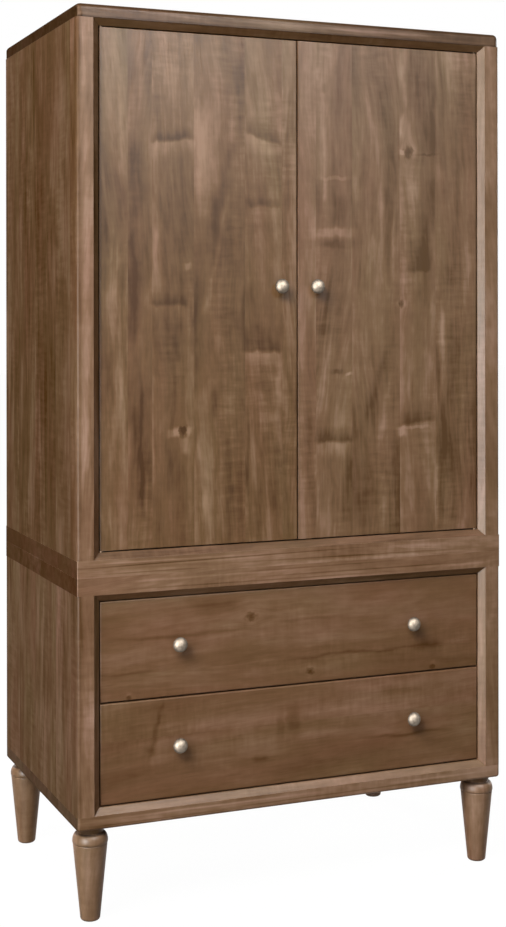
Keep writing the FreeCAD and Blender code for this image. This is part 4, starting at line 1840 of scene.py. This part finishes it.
KNOB_FRONTS = {
    "left_door": ("left_door_panel", "left_door_knob"),
    "right_door": ("right_door_panel", "right_door_knob"),
    "top_drawer": ("top_drawer_front", "top_drawer_knobs"),
    "bottom_drawer": ("bottom_drawer_front", "bottom_drawer_knobs"),
}
KNOB_RADIUS = 0.016


def knob_places(body: str, y: float) -> list[Vector]:
    """Where the knobs of a door or a drawer are.

    Args:
        body: The door or the drawer.
        y: How far back the places lie.

    Returns:
        The place of each knob, from left to right.
    """
    knobs = Block.of(KNOB_FRONTS[body][1])
    ends = (knobs.low.x + KNOB_RADIUS, knobs.high.x - KNOB_RADIUS)
    across = (knobs.middle.x,) if body.endswith("door") else ends
    return [Vector((x, y, knobs.middle.z)) for x in across]


@dataclass
class Knobs(Assembly):
    """Round satin knobs with a small base, a narrow neck and a domed face."""

    radius: float = KNOB_RADIUS
    length: float = 0.026
    base_radius: float = 0.0075
    base_height: float = 0.002
    base_edge: float = 0.0004
    neck_radius: float = 0.0055
    neck_length: float = 0.008
    rim_height: float = 0.014
    flare_bend: float = 0.55
    flare_steps: int = 10
    dome_steps: int = 20
    sides: int = 72

    def profile(self) -> Profile:
        """The outline of a knob, from its base to its crown.

        Returns:
            The radius and height of each point.
        """
        points = [
            (0.0, 0.0),
            (self.base_radius, 0.0),
            (self.base_radius, self.base_height - self.base_edge),
            (self.base_radius - self.base_edge, self.base_height),
            (self.neck_radius, self.base_height),
        ]
        flare, rise = self.radius - self.neck_radius, self.rim_height - self.neck_length
        for n in range(self.flare_steps + 1):
            share = n / self.flare_steps
            height = self.neck_length + rise * share**self.flare_bend
            points.append((self.neck_radius + flare * share, height))
        dome = self.length - self.rim_height
        for angle in quarter(self.dome_steps)[1:]:
            points.append((self.radius * math.cos(angle), self.rim_height + dome * math.sin(angle)))
        return points

    def build(self) -> None:
        """Make the knobs of the doors and the drawers."""
        forward = Matrix.Rotation(math.pi / 2, 3, "X")
        for body, (panel, node) in KNOB_FRONTS.items():
            places = knob_places(body, Block.of(panel).low.y)
            knobs = (Shape.turned(self.profile(), self.sides).turn(forward).move(place) for place in places)
            self.fit(knobs, "fine_" + node, body, KNOB_METAL, node)


class Head(Enum):
    """The shape of a screw's head."""

    FLAT = "flat"
    PAN = "pan"


@dataclass(frozen=True)
class Screw:
    """A screw with a crossed recess in its head."""

    head: Head
    radius: float
    high: float
    length: float
    recess_width: float = 0.16
    recess_reach: float = 0.62
    recess_depth: float = 0.0011
    head_edge: float = 0.0003
    sides: int = 40

    def profile(self) -> Profile:
        """The outline of the screw, from its foot to its crown.

        Returns:
            The radius and height of each point.
        """
        radius, high = self.radius, self.high
        if self.head is Head.PAN:
            shank = radius * 0.45
            arc = quarter(8)[:-1]
            crown = [(radius * math.cos(a), high * (0.35 + 0.65 * math.sin(a))) for a in arc]
        else:
            shank = radius * 0.5
            soft = min(self.head_edge, high / 4)
            crown = [(radius, high - soft), (radius - soft, high)]
        return [(0.0, -self.length), (shank, -self.length), (shank, 0.0), (radius, 0.0), *crown, (0.0, high)]

    def shape(self) -> Shape:
        """Turn the screw, with its head on the origin and pointing up Z, and cut its recess.

        Returns:
            The screw.
        """
        reach, wide = self.radius * self.recess_reach, self.radius * self.recess_width
        shape = Shape.turned(self.profile(), self.sides)
        for x, y in ((reach, wide), (wide, reach)):
            arm = Block.between((-x, -y, self.high - self.recess_depth), (x, y, self.high + OVERRUN))
            shape.carve(Shape.block(arm))
        return shape

    def row(self, places: list[Vector], way: Vector) -> Shape:
        """Put a screw at each place.

        Args:
            places: Where the heads rest.
            way: The way that the heads face.

        Returns:
            All the screws in one mesh.
        """
        screw = self.shape().turn(ALONG_Z.rotation_difference(way).to_matrix())
        row = Shape.joined(screw.copy().move(place) for place in places)
        screw.mesh.free()
        return row


@dataclass
class Hardware(Assembly):
    """Screws with crossed recesses, and the magnetic catches."""

    back_screw: Screw = Screw(Head.FLAT, 0.003, 0.002, 0.018)
    joining_screw: Screw = Screw(Head.FLAT, 0.005, 0.002, 0.060)
    knob_screw: Screw = Screw(Head.PAN, 0.0045, 0.0025, 0.012)
    slide_screw: Screw = Screw(Head.PAN, 0.0038, 0.0016, 0.010)
    leaf_screw: Screw = Screw(Head.FLAT, 0.0026, 0.0016, 0.012)
    sunk: float = 0.0001
    joining_inset: float = 0.110
    slide_wall: float = 0.0012
    slide_screws: tuple[float, ...] = (0.020, 0.180, 0.452)
    leaf_screws: tuple[float, ...] = (0.020, 0.036)
    leaf_screw_sink: float = 0.0015
    catch_from_centre: float = 0.040
    catch_length: float = 0.044
    catch_easing: float = 0.0007
    catch_shortest_edge: float = 0.006
    magnet: tuple[float, float, float] = (0.032, 0.008, 0.008)
    magnet_play: float = 0.0002
    magnet_set_back: float = 0.0005
    pole_set_back: float = 0.0001
    pole_thick: float = 0.001

    def build(self) -> None:
        """Make all the screws and both catches."""
        self._case_screws()
        self._knob_screws()
        self._slide_screws()
        self._leaf_screws()
        self._catches()

    def _case_screws(self) -> None:
        """Make the screws of the back panels and of the two cases' joint."""
        sunk = -ALONG_Y * (self.back_screw.high + self.sunk)
        places = [place + sunk for name in BACK_SCREW_COUNTS for place in back_screw_places(name)]
        board = Block.of("lower_top_board")
        x = board.high.x - self.joining_inset
        depths = (board.low.y + self.joining_inset, board.high.y - self.joining_inset)
        seats = [Vector((side * x, y, board.low.z)) for side in SIDES.values() for y in depths]
        rows = (self.back_screw.row(places, ALONG_Y), self.joining_screw.row(seats, -ALONG_Z))
        self.fit(rows, "fine_case_screws", CARCASS, ZINC, "case_screws")

    def _knob_screws(self) -> None:
        """Make the screws that hold the knobs, seen inside the doors and the drawers."""
        for body, (panel, _) in KNOB_FRONTS.items():
            row = self.knob_screw.row(knob_places(body, Block.of(panel).high.y), ALONG_Y)
            self.fit([row], body + "_knob_screws", body, ZINC)

    def _slide_screws(self) -> None:
        """Make the screws that hold the inner slide members to the drawers' sides."""
        for body in ("top_drawer", "bottom_drawer"):
            slides = Block.of(body + "_slide_inner")
            x = Block.of(body + "_right_side").high.x + self.slide_wall
            rows = []
            for side in SIDES.values():
                places = [Vector((side * x, slides.low.y + y, slides.middle.z)) for y in self.slide_screws]
                rows.append(self.slide_screw.row(places, ALONG_X * side))
            self.fit(rows, body + "_slide_screws", body, ZINC)

    def _leaf_screws(self) -> None:
        """Make the screws of the pivot hinges' leaves."""
        sink = self.leaf_screw_sink
        for name, side in SIDES.items():
            leaves, door = Block.of(name + "_door_hinge_leaves"), Block.of(name + "_door_panel")
            spots = [Vector((leaves.end(0, side) - side * x, leaves.middle.y, 0.0)) for x in self.leaf_screws]
            gap = door.low.z - Block.of("door_trim_bottom").high.z
            for part, body, ends in (
                ("door", name + "_door", ((door.low.z + sink, -1), (door.high.z - sink, 1))),
                ("case", CARCASS, ((door.low.z - gap - sink, 1), (door.high.z + gap + sink, -1))),
            ):
                rows = []
                for z, up in ends:
                    rows.append(self.leaf_screw.row([spot + ALONG_Z * z for spot in spots], ALONG_Z * up))
                self.fit(rows, f"{name}_{part}_leaf_screws", body, HINGE)

    def _catches(self) -> None:
        """Make the two magnetic catches: a housing, a magnet and two steel pole plates."""
        space = Block.of("door_catches")
        size = space.size
        long, deep, high = self.magnet[0] / 2, self.magnet[1], self.magnet[2] / 2
        inner = high - self.pole_thick
        housings, magnets, plates = [], [], []
        for side in SIDES.values():
            front = Vector((side * self.catch_from_centre, space.low.y, space.middle.z))

            def part(half: float, start: float, end: float, low: float, top: float) -> Shape:
                """A block of the catch, from its reach to each side of the middle of the front."""
                return Shape.block(
                    Block(front + Vector((-half, start, low)), front + Vector((half, end, top)))
                )

            housing = part(self.catch_length / 2, 0.0, size.y, -size.z / 2, size.z / 2)
            housing.carve(part(long, -OVERRUN, deep, -high, high))
            housings.append(housing.ease(self.catch_easing, self.catch_shortest_edge))
            short = long - self.magnet_play
            magnets.append(part(short, self.magnet_set_back, deep, -inner, inner))
            for low, top in ((-high, -inner), (inner, high)):
                plates.append(part(short, self.pole_set_back, deep, low, top))
        for parts, name, finish, nodes in (
            (housings, "fine_door_catches", CATCH, ("door_catches",)),
            (magnets, "catch_magnets", MAGNET, ()),
            (plates, "catch_poles", ZINC, ()),
        ):
            self.fit(parts, name, CARCASS, finish, *nodes)


# Stage


@dataclass(frozen=True)
class PhotoCamera:
    """The camera that took the photograph, worked out from the corners of the chest."""

    place: tuple[float, float, float] = (-1.4246, -3.4424, 1.2723)
    turn: float = 22.667
    roll: float = -0.09
    focal_pixels: float = 1571.46
    frame_height: float = 927.0
    horizon_row: float = 314.2
    sensor: float = 36.0
    reach: float = 100.0

    def build(self) -> None:
        """Set the camera up."""
        data = bpy.data.cameras.new("photo_camera")
        data.sensor_fit = "AUTO"
        data.sensor_width = self.sensor
        data.lens = self.sensor * self.focal_pixels / self.frame_height
        data.shift_y = (self.horizon_row - self.frame_height / 2) / self.frame_height
        data.clip_end = self.reach
        camera = bpy.data.objects.new("photo_camera", data)
        upright = Matrix.Rotation(math.pi / 2, 4, "X")
        aim = Matrix.Rotation(math.radians(-self.turn), 4, "Z") @ upright
        tilt = Matrix.Rotation(math.radians(self.roll), 4, "Z")
        camera.matrix_world = Matrix.Translation(self.place) @ aim @ tilt
        bpy.context.scene.collection.objects.link(camera)
        bpy.context.scene.camera = camera


@dataclass(frozen=True)
class Lamp:
    """A soft rectangular lamp."""

    name: str
    place: tuple[float, float, float]
    aim: tuple[float, float, float]
    width: float
    height: float
    power: float
    lights_surfaces: bool = True

    def build(self) -> None:
        """Hang the lamp."""
        data = bpy.data.lights.new(self.name, "AREA")
        data.shape = "RECTANGLE"
        data.size = self.width
        data.size_y = self.height
        data.energy = self.power
        lamp = bpy.data.objects.new(self.name, data)
        lamp.location = self.place
        way = Vector(self.aim) - Vector(self.place)
        lamp.rotation_euler = way.to_track_quat("-Z", "Y").to_euler()
        lamp.visible_diffuse = self.lights_surfaces
        bpy.context.scene.collection.objects.link(lamp)


CHEST_MIDDLE = (0.0, -0.3, 1.0)


@dataclass(frozen=True)
class Studio:
    """A plain pale floor, white surroundings and soft lamps."""

    floor_reach: float = 30.0
    floor_tint: str = "8a8986"
    surround_level: float = 0.02
    floor_glow: float = 0.90
    floor_strength: float = 1.09
    lamps: tuple[Lamp, ...] = (
        Lamp("key", (-6.0, -3.8, 1.7), CHEST_MIDDLE, 2.4, 2.6, 119.0),
        Lamp("high_left", (-4.0, -3.0, 5.0), CHEST_MIDDLE, 3.0, 2.6, 439.0),
        Lamp("near_high", (-1.0, -2.6, 3.4), CHEST_MIDDLE, 1.2, 0.8, 30.0),
        Lamp("sheen", (0.6, -3.6, 3.4), CHEST_MIDDLE, 1.4, 0.9, 680.0, False),
        Lamp("strip", (-3.2, -2.6, 0.8), CHEST_MIDDLE, 0.8, 2.0, 800.0, False),
        Lamp("right_fill", (6.0, 1.6, 2.6), CHEST_MIDDLE, 2.4, 2.4, 260.0),
        Lamp("back_fill", (-1.5, 6.0, 3.0), CHEST_MIDDLE, 2.6, 2.2, 300.0),
    )

    def build(self) -> None:
        """Set the studio up."""
        self._surround()
        self._floor()
        for lamp in self.lamps:
            lamp.build()

    def _surround(self) -> None:
        """Make the surroundings white to the eye and soft as a light."""
        world = bpy.data.worlds.new("surround")
        world.use_nodes = True
        w = Wiring(world.node_tree)
        white = w.node("ShaderNodeBackground", {"Color": WHITE, "Strength": 1.0})
        soft = w.node("ShaderNodeBackground", {"Color": WHITE, "Strength": self.surround_level})
        w.blend(w.seen(), soft, white, "ShaderNodeOutputWorld")
        bpy.context.scene.world = world

    def _floor(self) -> None:
        """Lay the floor, which stays white to the eye but keeps a soft shadow."""
        mesh = bmesh.new()
        bmesh.ops.create_grid(mesh, x_segments=1, y_segments=1, size=self.floor_reach)
        floor = Shape(mesh)._as_object("studio_floor")
        made, w = Wiring.material("studio_floor")
        matt = w.node("ShaderNodeBsdfDiffuse", {"Color": colour(self.floor_tint)})
        glow = w.node("ShaderNodeEmission", {"Color": WHITE, "Strength": self.floor_strength})
        w.blend(w.times(w.seen(), self.floor_glow), matt, glow, "ShaderNodeOutputMaterial")
        floor.data.materials.append(made)
        floor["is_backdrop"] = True


HARDWARE_FINISHES = {
    "hinge": HINGE,
    "strike": HINGE,
    "bolts": ZINC,
    "pins": ZINC,
    "slide_inner": ZINC,
    "slide_middle": ZINC,
    "slide_outer": ZINC,
    "inserts": BRASS,
}


def dress_hardware(shop: Workshop) -> None:
    """Give the nodes that keep their shape their metal.

    Args:
        shop: What the materials are made with.
    """
    for name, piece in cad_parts.items():
        for word, finish in HARDWARE_FINISHES.items():
            if word in name:
                for slot in piece.material_slots:
                    slot.material = shop.plain(finish)
                log.info("%s dressed", name)


def write_sizes() -> None:
    """Work out the frame's box and the dressed chest's box."""
    boxes = {"cad": cad_bounds, "scene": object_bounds()}
    lists = {name: [[float(value) for value in corner] for corner in box] for name, box in boxes.items()}


def main() -> None:
    """Build the chest and its studio."""
    logging.basicConfig(level=logging.INFO, format="%(name)s: %(message)s")
    bpy.context.scene.view_settings.view_transform = "Standard"
    PhotoCamera().build()
    Studio().build()
    shop = Workshop(Effects(make_figure(), make_knot(), make_flame(), make_streak()))
    for assembly in (Case, Doors, Drawers, Legs, Knobs, Hardware):
        assembly(shop).build()
        log.info("%s finished", assembly.__name__)
    dress_hardware(shop)
    write_sizes()


if __name__ == "__main__":
    main()
